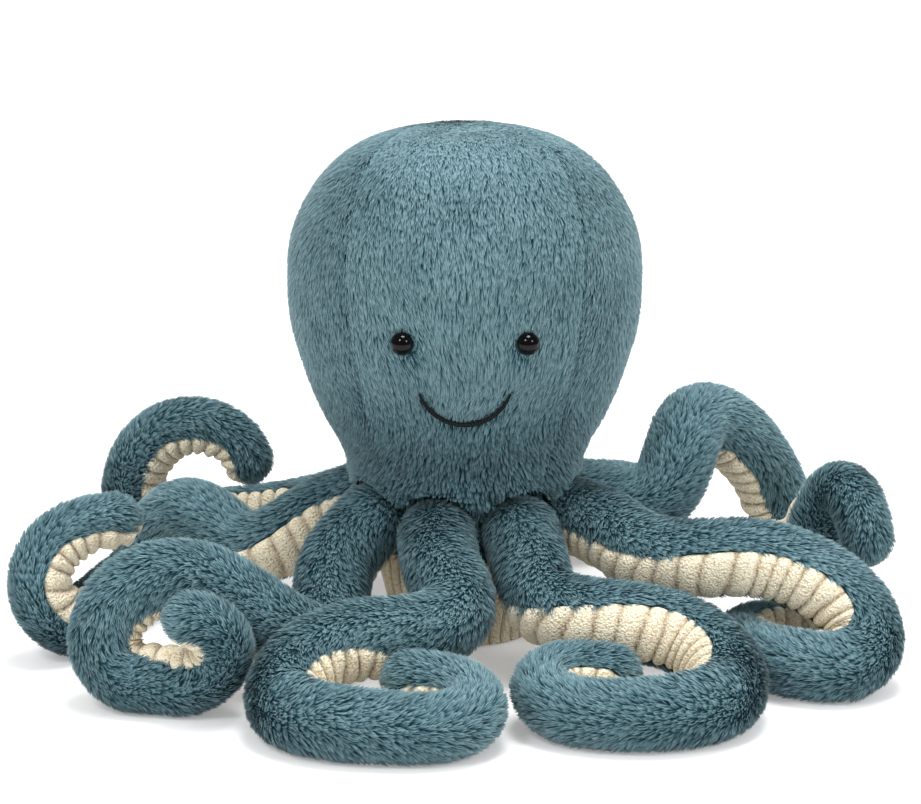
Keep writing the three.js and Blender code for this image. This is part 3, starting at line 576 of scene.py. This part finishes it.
def scatter(bed, density, seed):
    """Random places on a bed, even over its area. A quad is drawn by its share of the area, a place in it by
    two random shares, and every field that the bed holds at its corners is blended there."""
    random = np.random.default_rng(seed)
    place = bed["place"]
    sides = np.cross(place[1:, :-1] - place[:-1, :-1], place[:-1, 1:] - place[:-1, :-1])
    area = np.linalg.norm(sides, axis=-1)
    count = int(area.sum() * density)
    row, column = np.divmod(random.choice(area.size, count, p=area.ravel() / area.sum()), area.shape[1])
    a, b = random.random((2, count, 1))

    def blend(field):
        near = field[row, column] * (1 - b) + field[row, column + 1] * b
        far = field[row + 1, column] * (1 - b) + field[row + 1, column + 1] * b
        return near * (1 - a) + far * a

    return {name: blend(field) for name, field in bed.items()}


def make_pile(name, bed, material, seed, density, width):
    """Fibres of pile, so many for each square millimetre of a bed. A fibre is a long pyramid on a
    three-cornered foot. It rises from the foot along the normal and leans over along the nap. The skin is
    parted into tufts, cells of a jittered grid on the mapped lengths, and the fibres of a tuft lean in
    towards its middle. luck holds five chances for each tuft, and own holds four for each fibre."""
    random = np.random.default_rng(seed)
    spot = scatter(bed, density, seed)
    keep = (spot["length"][:, 0] > SHORTEST_SHARE) & (random.random(len(spot["length"])) > spot["bare"][:, 0])
    spot = {key: field[keep] for key, field in spot.items()}
    place, wild = spot["place"], spot["wild"]
    count = len(place)
    normal = unit(spot["normal"])
    nap = square_to(normal, spot["nap"])
    across = np.cross(normal, nap)

    # The tufts, their middles, and how far out in its tuft each fibre stands
    wander = np.stack([drift(place, WANDER_SIZE, seed + k) for k in range(2)], -1)
    mapped = spot["mapped"] + wander * TUFT * 1.2
    mapped[:, 0] += TUFT[0] * 0.5 * (np.floor(mapped[:, 1] / TUFT[1]) % 2)
    cell = np.floor(mapped / TUFT)
    luck = np.stack([chance(cell, seed + k) for k in range(5)], -1)
    middle = (cell + 0.5 + 0.5 * (luck[:, :2] - 0.5)) * TUFT
    inward = middle - mapped
    edge = np.linalg.norm(inward / TUFT, axis=-1, keepdims=True)
    pull = inward[:, :1] * spot["across"] + inward[:, 1:] * spot["along"]

    # The way each fibre leans, its length and its corners
    own = random.random((count, 4))
    swing = (luck[:, 2:3] - 0.5) * 0.6 * wild + (own[:, :1] - 0.5) * 0.5 * wild + wander[:, :1] * 0.25 * wild
    swing = swing + drift(place, SWIRL_SIZE, seed + 2)[:, None] * 0.3
    lean = nap * np.cos(swing) + across * np.sin(swing)
    size = spot["length"] * (0.78 + 0.3 * luck[:, 3:4] + 0.26 * own[:, 1:2]) * (1.05 - 0.25 * edge)
    foot = place - 0.4 * spot["rise"] * normal
    tip = foot + size * (PILE_RISE * spot["rise"] * normal + PILE_REACH * spot["lean"] * lean)
    tip += pull * TUFT_PULL_SHARE * wild
    fibre = unit(tip - foot)
    flat = unit(np.cross(fibre, normal + 0.6 * (random.random((count, 3)) - 0.5)))
    half = flat * width / 2 * (0.7 + 0.6 * own[:, 2:3])
    ridge = np.cross(half, fibre)
    points = np.stack([foot - half, foot + half, foot + 0.9 * ridge, tip], 1)
    points[..., 2] = np.maximum(points[..., 2], PILE_FLOOR)
    faces = (np.arange(count)[:, None] * 4 + [0, 2, 3, 2, 1, 3, 1, 0, 3]).reshape(-1, 3)
    piece = make_piece(name, points.reshape(-1, 3), [faces], material)

    # Normals near the skin's own, so that the light falls on the pile as one soft body
    puff = normal - 0.6 * wild * pull / TUFT.mean() + 0.2 * lean + 0.45 * (random.random((count, 3)) - 0.5)
    puff = unit(puff[:, None] + 0.35 * flat[:, None] * np.array([-1, 1, 0, 0])[:, None])
    normals = piece.data.attributes.new("custom_normal", "FLOAT_VECTOR", "POINT")
    normals.data.foreach_set("vector", puff.astype(np.float32).ravel())

    # The map: a fibre's tone sideways, the place along it upwards
    patch = 0.14 * drift(place, PATCH_SIZE, seed)
    tone = 0.5 + 0.3 * (luck[:, 4] - 0.5) * wild[:, 0] + 0.7 * (own[:, 3] - 0.5) + patch
    # Painted shade: fibres at the edges of their tufts are darker, as in the gaps between tufts, and dark
    # takes painted shade off the tone
    tone = np.clip(tone - spot["dark"][:, 0] - 0.4 * wild[:, 0] * (edge[:, 0] - 0.35), 0.04, 0.96)
    shade = tone[:, None] + np.array([-0.02, 0.02, 0, 0])
    # glow lifts the colour at the roots: painted light
    along = spot["glow"] + (1 - spot["glow"]) * np.array([0, 0, 0.02, 1])
    corners = np.stack([shade, along], -1).reshape(-1, 2)[faces.ravel()]
    uv = piece.data.uv_layers.new(name="OFBake")
    uv.uv.foreach_set("vector", corners.astype(np.float32).ravel())
    return piece


# Head

def head_reach(fall):
    """The head's radius where the way to it falls by this angle from straight up: a Catmull-Rom spline
    through the profile's stops."""
    stops = HEAD_PROFILE_SHARES[:, 0] * np.pi
    values = HEAD_PROFILE_SHARES[:, 1] * HEAD_RADIUS
    last = len(stops) - 1
    k = np.clip(np.searchsorted(stops, fall, side="right") - 1, 0, last - 1)
    t = (fall - stops[k]) / (stops[k + 1] - stops[k])
    before, here, after, beyond = (values[np.clip(k + shift, 0, last)] for shift in (-1, 0, 1, 2))
    return cubic(here, after, (after - before) / 2, (beyond - here) / 2, t)


def head_point(turn, fall, inset):
    """A point of the head. turn goes round from the face and fall goes down from the crown, where the panels
    meet. The crown is tilted back, less and less further down."""
    x = np.sin(fall) * np.sin(turn)
    y = -np.sin(fall) * np.cos(turn)
    z = np.cos(fall)
    tilt = -CROWN_TILT_SHARE * np.pi * np.clip(1 - fall / (TILT_END_SHARE * np.pi), 0, None)
    way = np.stack([x, y * np.cos(tilt) - z * np.sin(tilt), y * np.sin(tilt) + z * np.cos(tilt)], -1)
    reach = head_reach(np.arccos(np.clip(way[..., 2], -1, 1))) - inset
    return way * reach[..., None] + [0, 0, HEAD_CENTRE_HEIGHT]


def root_places():
    """The middles of the arms' roots, in a ring."""
    return round_axis(ROOT_RING_RADIUS, np.radians([turn for turn, _ in ARMS.values()]), ROOT_HEIGHT)


def panel_end(turn):
    """How far the head's skin falls at each turn: to the bed of an arm's root, or to its own end."""
    fall = np.linspace(0.6, PANEL_END_SHARE, 200) * np.pi
    point = head_point(turn[:, None], fall[None, :], 0)
    free = np.cumprod(nearest(point, root_places()) > ROOT_BED_RADIUS, axis=1).sum(1)
    return fall[np.clip(free - 1, 0, len(fall) - 1)]


def panel_bed(start, end, rows=72, columns=40):
    """One panel of the head's skin, from the crown to the arms' roots, with dips at its seams. Fibres comb
    towards the chin on the face side and down behind, lie flat on the crown, stand up in a thinner pile under
    the mouth, and are short round the eyes and the mouth. The pile under the mouth is darkened with painted
    shade, and the pile on the crown is lightened with painted light."""
    turn = np.radians(np.linspace(start, end, columns))
    share = np.linspace(0, 1, rows)[:, None]
    start_fall = PANEL_START_SHARE * np.pi
    fall = start_fall + (panel_end(turn) - start_fall) * share
    turn = np.broadcast_to(turn, fall.shape)
    across = np.linspace(-1, 1, columns)
    dip = SEAM_DIP * np.sin(fall) * (0.4 * across**4 + 0.6 * across**24)
    place = head_point(turn, fall, HEAD_PILE_DEPTH + dip)

    def way(turn_step, fall_step):
        ahead = head_point(turn + turn_step, fall + fall_step, HEAD_PILE_DEPTH)
        return unit(ahead - head_point(turn - turn_step, fall - fall_step, HEAD_PILE_DEPTH))

    east, down = way(0.01, 0), way(0, 0.01)
    normal = unit(np.cross(down, east))
    upward = normal[..., 2:3]
    facing = step(0.15, 0.75, -unit(place * [1, 1, 0])[..., 1:2])
    to_chin = square_to(normal, unit(CHIN - place))
    low = step(0, UNDER_FACE_FADE, UNDER_FACE_TOP - place[..., 2:3])
    under = low * (0.4 + 0.6 * facing)
    combed = facing * (1 - low)
    nap = to_chin * combed + down * (1 - combed) + 1e-4 * down
    length = np.minimum(eye_clearance(place), mouth_clearance(place)) * root_clearance(place)
    length = length * (1 - 0.3 * across**24)
    mapped = np.stack([turn * HEAD_RADIUS * np.maximum(np.sin(fall), 0.25), fall * HEAD_RADIUS], -1)
    # Painted shade: dark and a lower glow darken the pile under the mouth. Painted light: glow and a negative
    # dark lighten the crown.
    return pile_bed(
        place, normal, nap, east, down, mapped, length=length[..., None], lean=1 - 0.6 * under,
        rise=HEAD_RISE_SHARE * (1 - 0.55 * step(0.6, 0.97, upward)) + (1 - HEAD_RISE_SHARE) * under,
        wild=HEAD_WILD_SHARE + 0.8 * under, glow=0.06 + 0.3 * step(0.97, 1, upward) - 0.06 * under,
        bare=0.5 * under, dark=0.27 * under - 0.04 * step(0.6, 0.97, upward))


def face_spot(x, height):
    """The place on the front of the head at x and a height, and the way straight out there. The head's radius
    and the way to the place are worked out by turns until they agree."""
    rise = height - HEAD_CENTRE_HEIGHT
    round_radius = np.full(np.shape(x), float(HEAD_RADIUS))
    for _ in range(8):
        round_radius = np.sqrt(head_reach(np.arctan2(round_radius, rise)) ** 2 - rise**2)
    place = np.stack([x, -np.sqrt(round_radius**2 - x**2), height], -1)
    return place, unit(place - [0, 0, HEAD_CENTRE_HEIGHT])


def eye_spot(side):
    """The middle of the left (-1) or the right (1) eye, and the way straight out there."""
    return face_spot(np.array(side * EYE_SPACING / 2), np.array(float(EYE_HEIGHT)))


def mouth_line(count=61):
    """The smile, an arc of a circle laid on the face. Gives its points and the ways out from them."""
    half = MOUTH_WIDTH / 2
    bow = (half**2 + MOUTH_DROP**2) / (2 * MOUTH_DROP)
    angle = np.linspace(-1, 1, count) * np.arcsin(half / bow)
    return face_spot(bow * np.sin(angle), MOUTH_TOP - MOUTH_DROP + bow * (1 - np.cos(angle)))


def eye_clearance(place):
    """The share of full length that a fibre has near an eye: none under the bead, full a clearing away."""
    share = np.ones(place.shape[:-1])
    for side in (-1, 1):
        away = np.linalg.norm(place - eye_spot(side)[0], axis=-1)
        clear = step(EYE_RADIUS, EYE_RADIUS + EYE_CLEARING, away) * 0.6 + 0.4 * (away > EYE_RADIUS + 0.6)
        share = np.minimum(share, clear)
    return share


def mouth_clearance(place):
    """The share of full length that a fibre has near the smile: none on it, full 5 mm to its side."""
    aside = np.sqrt(np.maximum(nearest(place, mouth_line()[0]) ** 2 - HEAD_PILE_DEPTH**2, 0))
    return step(0.6, 5, aside) * 0.5 + 0.5 * (aside > 0.8)


def root_clearance(place):
    """The share of full length that a fibre has near an arm's root: a third at its bed, full 8 mm away."""
    return 0.33 + 0.67 * step(0, 8, nearest(place, root_places()) - ROOT_BED_RADIUS)


def make_head(paint):
    """The head's five panels with their pile, the stuffing under them, the eyes and the smile."""
    for k, (name, (start, end)) in enumerate(PANELS.items()):
        bed = panel_bed(start, end)
        inner = bed["place"] - SKIN_THICKNESS * bed["normal"]
        skin = closed_shell(f"{name}_skin", bed["place"], inner, paint["backing"])
        dress(skin, "torso", f"{name}_panel")
        pile = make_pile(
            f"{name}_pile", bed, paint["pile"], 11 + k, HEAD_FIBRES_PER_SQUARE_MM, HEAD_FIBRE_WIDTH)
        dress(pile, "torso")
    make_head_stuffing(paint["stuffing"])
    for side, name in ((-1, "left"), (1, "right")):
        make_eye(name, side, paint["eye"])
    make_mouth(paint["thread"])


def make_head_stuffing(material):
    """A lumpy mass inside the skin, from near the crown down to a flat foot over the top of the base."""
    turn = circle(48)[None, :]
    fall = np.linspace(0.04, 0.74, 30)[:, None] * np.pi
    body = head_point(turn, fall, STUFFING_DEPTH)
    body = body - unit(body - [0, 0, HEAD_CENTRE_HEIGHT]) * (1 + drift(body, 18, 5)[..., None])
    foot = round_axis(STUFFING_FOOT_RADIUS, turn, STUFFING_FOOT_HEIGHT)
    stuffing = closed_tube("head_stuffing", np.concatenate([body, foot]), material)
    dress(stuffing, "torso", "head_filling")


def make_eye(name, side, material):
    """A domed bead: a quarter ellipse turned about its axis, on a low rim, with its shank behind. The outline
    holds radii and heights."""
    middle, out = eye_spot(side)
    rise = np.linspace(0, np.pi / 2 - 0.06, 20)
    outline = np.concatenate([
        [(SHANK_RADIUS, -SHANK_LENGTH), (SHANK_RADIUS, -EYE_RIM), (EYE_RADIUS * 0.96, -EYE_RIM),
         (EYE_RADIUS, 0.5 - EYE_RIM)],
        np.stack([EYE_RADIUS * np.cos(rise), EYE_DOME * np.sin(rise)], -1),
    ])
    spread = unit(np.cross(out, [0, 0, 1]))
    angle = circle(48)[:, None]
    ring = np.cos(angle) * spread + np.sin(angle) * np.cross(spread, out)
    radius, height = outline.T[..., None, None]
    rings = middle + out * (height + EYE_LIFT) + radius * ring
    dress(closed_tube(f"eye_bead_{name}", rings, material), "torso", f"eye_{name}")


def make_mouth(material):
    """The embroidered smile: a thread whose radius swells and shrinks from stitch to stitch."""
    line, out = mouth_line(241)
    across = np.cross(unit(np.gradient(line, axis=0)), out)
    run = lengths(line)[:, None, None]
    angle = circle(14)[None, :, None]
    wave = np.abs(np.sin(np.pi * run / STITCH_PITCH + 0.5 * angle))
    taper = 1 - 0.45 * np.linspace(-1, 1, len(run))[:, None, None] ** 4
    radius = MOUTH_THREAD_RADIUS * taper * (0.82 + 0.22 * wave)
    section = np.cos(angle) * out[:, None] + np.sin(angle) * across[:, None]
    mouth = closed_tube("mouth_embroidery", (line + 0.3 * out)[:, None] + radius * section, material)
    # The stitch wave also sets the painted shade in the thread's grooves
    mark(mouth, "stitch", np.append(wave, [0.5, 0.5]))
    dress(mouth, "torso", "mouth_stitch")


# Base

def base_rings(height, turn, inset):
    """Rings of the base: its outline turned about the axis, and drawn in where an arm's root beds."""
    radius = np.interp(height, *BASE_OUTLINE.T) - inset
    level = np.sqrt(np.clip((ROOT_BED_RADIUS - 1) ** 2 - (height - ROOT_HEIGHT) ** 2, 0, None))
    for arm_turn, _ in ARMS.values():
        apart = turn - np.radians(arm_turn)
        aside = ROOT_RING_RADIUS * np.sin(apart)
        face = ROOT_RING_RADIUS * np.cos(apart) - np.sqrt(np.clip(level**2 - aside**2, 0, None))
        meets = (np.abs(aside) < level) & (np.cos(apart) > 0)
        radius = np.where(meets, np.minimum(radius, face), radius)
    return round_axis(radius, turn, height)


def make_base(paint):
    """The base: ribbed cord on a rounded foot, plush at its collar, and the bag of beans inside."""
    turn = circle(288)
    rib = np.abs(np.sin(BASE_RIBS * turn / 2))
    height = np.concatenate([[0, 0, 0.6], np.linspace(1.2, COLLAR_START_HEIGHT, 40)])[:, None]
    foot_inset = np.array([6, 3.6, 1.8] + [0] * 40)[:, None]
    rings = base_rings(height, turn, foot_inset + BASE_RIB_RISE * (1 - rib**0.6) * step(0, 6, height))
    cup = closed_tube("base_cover", rings, paint["cord"])
    # Painted shade: the crease attribute darkens the creases between the base's ribs
    mark(cup, "crease", np.append(np.broadcast_to((1 - rib) ** 2, rings.shape[:2]), [0, 0]))
    dress(cup, "torso", "base_cup")
    height = np.linspace(COLLAR_START_HEIGHT, BASE_TOP_HEIGHT, 24)[:, None]
    skin = closed_tube("collar_skin", base_rings(height, turn, COLLAR_INSET), paint["backing"])
    dress(skin, "torso")
    turn = np.linspace(0, 2 * np.pi, 145)
    place = base_rings(height, turn, COLLAR_INSET)
    normal = unit(place * [1, 1, 0])
    down = np.broadcast_to([0, 0, -1], place.shape)
    mapped = np.stack(np.broadcast_arrays(turn * COLLAR_RADIUS, height), -1)
    # dark paints a little shade over the collar's pile
    bed = pile_bed(place, normal, down, np.cross([0, 0, 1], normal), down, mapped, length=0.5, dark=0.1)
    pile = make_pile("collar_pile", bed, paint["pile"], 91, COLLAR_FIBRES_PER_SQUARE_MM, 1.5 * FIBRE_WIDTH)
    dress(pile, "torso")
    low, high = (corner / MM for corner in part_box("bean_bag"))
    share = np.linspace(0, 1, 24)[:, None]
    radius = (high.x - BAG_CLEARANCE) * (1 - np.abs(2 * share - 1) ** 10 * 0.4)
    bag = round_axis(radius, circle(40), low.z + (high.z - low.z) * share)
    bag = bag + unit(bag * [1, 1, 0]) * 0.8 * drift(bag, 5, 3)[..., None]
    beans = closed_tube("bean_pouch", bag, paint["beans"])
    dress(beans, "torso", "bean_bag")


# Arms

def eased(row, passes, keep=lambda row: row):
    """The row of vectors after passes in which each inner one goes halfway to its neighbours' mean."""
    for _ in range(passes):
        inner = row[1:-1] / 2 + (row[2:] + row[:-2]) / 4
        row = keep(np.concatenate([row[:1], inner, row[-1:]]))
    return row


def spline(stops, per_span=48):
    """A centripetal Catmull-Rom curve: between two stops it is a cubic whose end slopes come from the
    neighbouring stops, weighted by the square roots of the distances. Gives points and their places in the
    row of stops."""
    padded = np.concatenate([[2 * stops[0] - stops[1]], stops, [2 * stops[-1] - stops[-2]]])
    gap = np.sqrt(np.linalg.norm(np.diff(padded, axis=0), axis=-1))[:, None]
    before, here, after, beyond = padded[:-3], padded[1:-2], padded[2:-1], padded[3:]
    first, middle, last = gap[:-2], gap[1:-1], gap[2:]
    start = ((here - before) / first - (after - before) / (first + middle) + (after - here) / middle) * middle
    end = ((after - here) / middle - (beyond - here) / (middle + last) + (beyond - after) / last) * middle
    t = np.linspace(0, 1, per_span, endpoint=False)[None, :, None]
    points = cubic(*(row[:, None] for row in (here, after, start, end)), t)
    places = np.arange(len(here))[:, None] + t[0, :, 0]
    return np.concatenate([points.reshape(-1, 3), stops[-1:]]), np.append(places.ravel(), len(here))


def at(stops, values, x):
    """Each column of values, read off at x between the stops."""
    return np.stack([np.interp(x, stops, column) for column in values.T], -1)


def arm_frames(root, stops):
    """Frames at each millimetre of an arm: its place, the way ahead, the cord's side, the bend (how fast the
    way ahead turns), its radius and the run of length. The line is a spline, eased as in the solids."""
    way = np.concatenate([[root], stops[:, :3] / 1000 * ARM_LENGTH + root * [1, 1, 0]])
    sides = unit(np.concatenate([stops[:1, 3:], stops[:, 3:]]) / 10)
    line, order = spline(way)
    run = lengths(line)
    even = np.linspace(0, run[-1], round(run[-1] / EASE_STEP) + 1)
    place = eased(at(run, line, even), EASE_PASSES)
    ahead = unit(np.gradient(place, axis=0))
    side = square_to(ahead, at(np.arange(len(sides)), sides, np.interp(even, run, order)))
    side = eased(side, SIDE_EASE_PASSES, lambda row: square_to(ahead, row))
    run = lengths(place)
    fine = np.linspace(0, ARM_LENGTH, ARM_LENGTH + 1)
    radius = np.interp(fine / ARM_LENGTH, RADIUS_STOP_SHARES, RADIUS_STOPS)
    place = eased(at(run, place, fine), 8)
    side = at(run, side, fine)
    place[:, 2] = np.maximum(place[:, 2], radius * REST_SHARE - FLOOR_FLAT)
    ahead = unit(np.gradient(place, axis=0))
    bend = eased(np.gradient(ahead, axis=0), 6)
    return dict(
        place=place, ahead=ahead, side=square_to(ahead, side), bend=bend, radius=radius[:, None],
        run=fine[:, None])


def with_caps(frames, steps):
    """The frames with half a ball added at each end. rise is the angle by which a cap's ring has closed."""
    rise = np.linspace(0, np.pi / 2, steps + 1)[1:, None]

    def cap(index, way):
        one = {key: np.repeat(field[index][None], steps, 0) for key, field in frames.items()}
        one["place"] = one["place"] + way * one["ahead"] * one["radius"] * np.sin(rise)
        one["run"] = one["run"] + way * one["radius"] * rise
        one["bend"] = one["bend"] * 0
        one["rise"] = way * rise
        return one

    body = dict(frames, rise=np.zeros_like(frames["run"]))
    start, end = cap(0, -1), cap(-1, 1)
    return {key: np.concatenate([start[key][::-1], body[key], end[key]]) for key in body}


def lip_angle(rise):
    """Half the cord's angle: the full one along the arm, narrowing to nothing over a cap."""
    return np.interp(np.abs(rise), np.radians([0, 35, 65, 90]), np.radians([50, 26, 12, 4]))


def arm_surface(rings, angle, depth):
    """The arm's surface at angles from the middle of the cord's side, depth under its outside. On the inside
    of a bend the reach is held under the bend's radius, and nothing goes below the floor. Gives the places,
    the normals and the ways round the arm."""
    side, ahead = rings["side"][:, None], rings["ahead"][:, None]
    over = np.cross(ahead, side)
    out = side * np.cos(angle)[..., None] + over * np.sin(angle)[..., None]
    round_about = over * np.cos(angle)[..., None] - side * np.sin(angle)[..., None]
    inward = dot(out, rings["bend"][:, None])
    close = np.cos(rings["rise"])[:, None]
    reach = np.minimum(rings["radius"][:, None], PINCH_SHARE / np.maximum(inward, 1e-6))
    place = rings["place"][:, None] + out * (reach - depth) * close
    cap = np.sin(rings["rise"])[:, None]
    normal = out * close + ahead * cap
    place = place - ahead * cap * depth
    place[..., 2] = np.maximum(place[..., 2], SKIN_FLOOR)
    return place, normal, round_about


def make_arm(k, name, turn, stops, paint):
    """One arm: its backing skin and pile, the ribbed cord along its inner side and its stuffing."""
    frames = arm_frames(round_axis(ROOT_RING_RADIUS, np.radians(turn), ROOT_HEIGHT), np.array(stops))
    dress(make_arm_skin(name, frames, paint["backing"]), name, f"{name}_plush")
    dress(make_arm_pile(name, frames, paint["pile"], 31 + 7 * k), name)
    dress(make_arm_cord(name, frames, paint["cord"], 3 + k), name, f"{name}_cord")
    stuffing = make_arm_stuffing(name, frames, paint["stuffing"])
    dress(stuffing, name, f"{name}_filling")


def every(frames, stride):
    """Every stride-th frame, and the last."""
    index = np.unique(np.append(np.arange(0, len(frames["run"]), stride), len(frames["run"]) - 1))
    return {key: field[index] for key, field in frames.items()}


def make_arm_skin(name, frames, material):
    """A closed tube under the pile, sunk deeper where the cord covers it."""
    rings = with_caps(every(frames, 3), steps=6)
    angle = circle(40)[None, :] + 0 * rings["run"]
    lip = lip_angle(rings["rise"])
    under = 1 - step(lip * 0.85, lip * 1.05, np.minimum(angle, 2 * np.pi - angle))
    depth = PILE_DEPTH + under[..., None] * (CORD_SINK + CORD_THICKNESS - PILE_DEPTH)
    place, _, _ = arm_surface(rings, angle, depth)
    return closed_tube(f"{name}_skin", place[1:-1], material)


def make_arm_pile(name, frames, material, seed):
    """The arm's pile runs from its spine out to the cord, whose edges it meets raggedly, and towards its tip,
    and closes over both ends."""
    rings = with_caps(every(frames, 2), steps=8)
    lip = lip_angle(rings["rise"])
    run = rings["run"][:, 0]
    first, last = (
        1 + RAGGED_EDGE * drift(np.stack([run, np.full_like(run, 99 * side)], -1), 6, seed + side)[:, None]
        for side in (1, 2))
    start, end = lip * first, 2 * np.pi - lip * last
    angle = start + (end - start) * np.linspace(0, 1, 48)
    place, normal, round_about = arm_surface(rings, angle, PILE_DEPTH)
    ahead = np.broadcast_to(rings["ahead"][:, None], normal.shape)
    along = square_to(normal, ahead)
    from_spine = np.tanh((angle - np.pi) / 0.6)[..., None]
    nap = along * 0.9 + round_about * 0.3 * from_spine
    mapped = np.stack(np.broadcast_arrays(angle * rings["radius"], rings["run"]), -1)
    # dark paints shade over the whole arm's pile, for the shade among its curls
    bed = pile_bed(place, normal, nap, round_about, along, mapped, lean=0.8, rise=0.65, dark=0.14)
    return make_pile(f"{name}_pile", bed, material, seed, FIBRES_PER_SQUARE_MM, FIBRE_WIDTH)


def make_arm_cord(name, frames, material, seed):
    """A band of puffy ribs across the inner side. A rib's height is a power of a sine along the arm, its
    creases wander, and both edges of the band and its rounded ends are tucked in under the pile. The section
    goes over the band and back beneath it."""
    rings = {key: field[2:-2] for key, field in with_caps(frames, steps=9).items()}
    over, back = np.linspace(-1, 1, 25), np.array([0.9, 0.45, 0, -0.45, -0.9])
    share = np.concatenate([over, back])[None, :]
    beneath = np.repeat([0, 1], [len(over), len(back)])
    angle = share * lip_angle(rings["rise"]) * 1.06
    run = rings["run"] + 0 * angle
    line = np.stack([run, angle * 8], -1)
    phase = run / RIB_PITCH + 0.4 * drift(line, 26, seed) + 0.16 * drift(line, 7, seed + 1) + 0.25 * share
    wave = np.abs(np.sin(np.pi * phase))
    edge = (1 - share**8) ** 0.5
    height = RIB_RISE * wave**0.55 * (0.85 + 0.3 * drift(line, 11, seed + 2))
    depth = CORD_SINK - height * (0.35 + 0.65 * edge) + 3 * (1 - edge)
    depth = depth + (CORD_SINK + CORD_THICKNESS - depth) * beneath
    place, _, _ = arm_surface(rings, angle, depth[..., None])
    piece = closed_tube(f"{name}_ribs", place, material)
    # Painted shade: the crease attribute darkens the creases between the ribs
    mark(piece, "crease", np.append((1 - wave) ** 2.2, [0.5, 0.5]))
    return piece


def make_arm_stuffing(name, frames, material):
    """A soft core inside the skin, lumpy along its length."""
    rings = every(frames, 6)
    rings["rise"] = np.zeros_like(rings["run"])
    place, _, _ = arm_surface(rings, circle(16)[None, :] + 0 * rings["run"], ARM_STUFFING_DEPTH)
    middle = rings["place"][:, None]
    place = middle + (place - middle) * (0.97 + 0.04 * drift(place, 12, 2)[..., None])
    return closed_tube(f"{name}_stuffing", place, material)


# Stage

def make_camera():
    """A long lens that looks slightly down at the toy, from a distance straight back from LOOK_AT."""
    data = bpy.data.cameras.new("camera")
    data.sensor_width = SENSOR_WIDTH
    data.lens = FOCAL_LENGTH_PX * SENSOR_WIDTH / FRAME_WIDTH_PX
    camera = add_object("camera", data)
    tilt = Matrix.Rotation(np.pi / 2 - CAMERA_ELEVATION, 4, "X")
    back = Matrix.Translation((0, 0, CAMERA_DISTANCE * MM))
    camera.matrix_world = Matrix.Translation(LOOK_AT * MM) @ tilt @ back
    bpy.context.scene.camera = camera


def make_lamp(name, place, size, power):
    """A square soft lamp at place in metres, aimed at the toy."""
    data = bpy.data.lights.new(name, "AREA")
    data.size = size
    data.energy = power
    lamp = add_object(name, data)
    lamp.location = place
    lamp.rotation_mode = "QUATERNION"
    lamp.rotation_quaternion = (Vector(place) - LAMP_TARGET).to_track_quat("Z", "Y")


def make_stage():
    """A floor that keeps the toy's shadow and glows a little to the camera alone, soft lamps, and a white
    surround that is dim in reflections, so that the eyes stay black."""
    material, tree = make_material(
        "floor_white", 1, Specular_IOR_Level=0, Base_Color=FLOOR_COLOUR, Emission_Strength=1)
    seen = tree.make("LightPath", output="Is Camera Ray")
    wire(material, Emission_Color=seen * FLOOR_GLOW)
    corners = np.array([(-1, -1, 0), (1, -1, 0), (1, 1, 0), (-1, 1, 0)]) * FLOOR_REACH
    make_piece("floor", corners, [np.array([[0, 1, 2, 3]])], material)
    world = bpy.data.worlds.new("studio")
    bpy.context.scene.world = world
    world.use_nodes = True
    background = world.node_tree.nodes["Background"]
    background.inputs["Color"].default_value = (1, 1, 1, 1)
    tree = Signal(world.node_tree)
    seen = tree.make("LightPath", output="Is Camera Ray")
    mirrored = tree.make("LightPath", output="Is Glossy Ray")
    strength = seen * 0.1 + mirrored * -0.75 + 0.9
    world.node_tree.links.new(strength.socket, background.inputs["Strength"])
    for name, lamp in LAMPS.items():
        make_lamp(name, *lamp)
    bpy.context.scene.view_settings.view_transform = "Standard"


def main():
    """Makes the toy, its finishes, the stage and the camera. The washers inside keep their solids."""
    paint = {
        "pile": pile_material(),
        "backing": backing_material(),
        "cord": cord_material(),
        "eye": eye_material(),
        "thread": thread_material(),
        "stuffing": stuffing_material(),
        "beans": bean_material(),
        "washer": washer_material(),
    }
    make_camera()
    make_stage()
    make_head(paint)
    make_base(paint)
    for k, (name, (turn, stops)) in enumerate(ARMS.items()):
        make_arm(k, name, turn, stops, paint)
    for name in ("eye_washer_left", "eye_washer_right"):
        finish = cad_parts[name].data.materials
        finish.clear()
        finish.append(paint["washer"])


main()
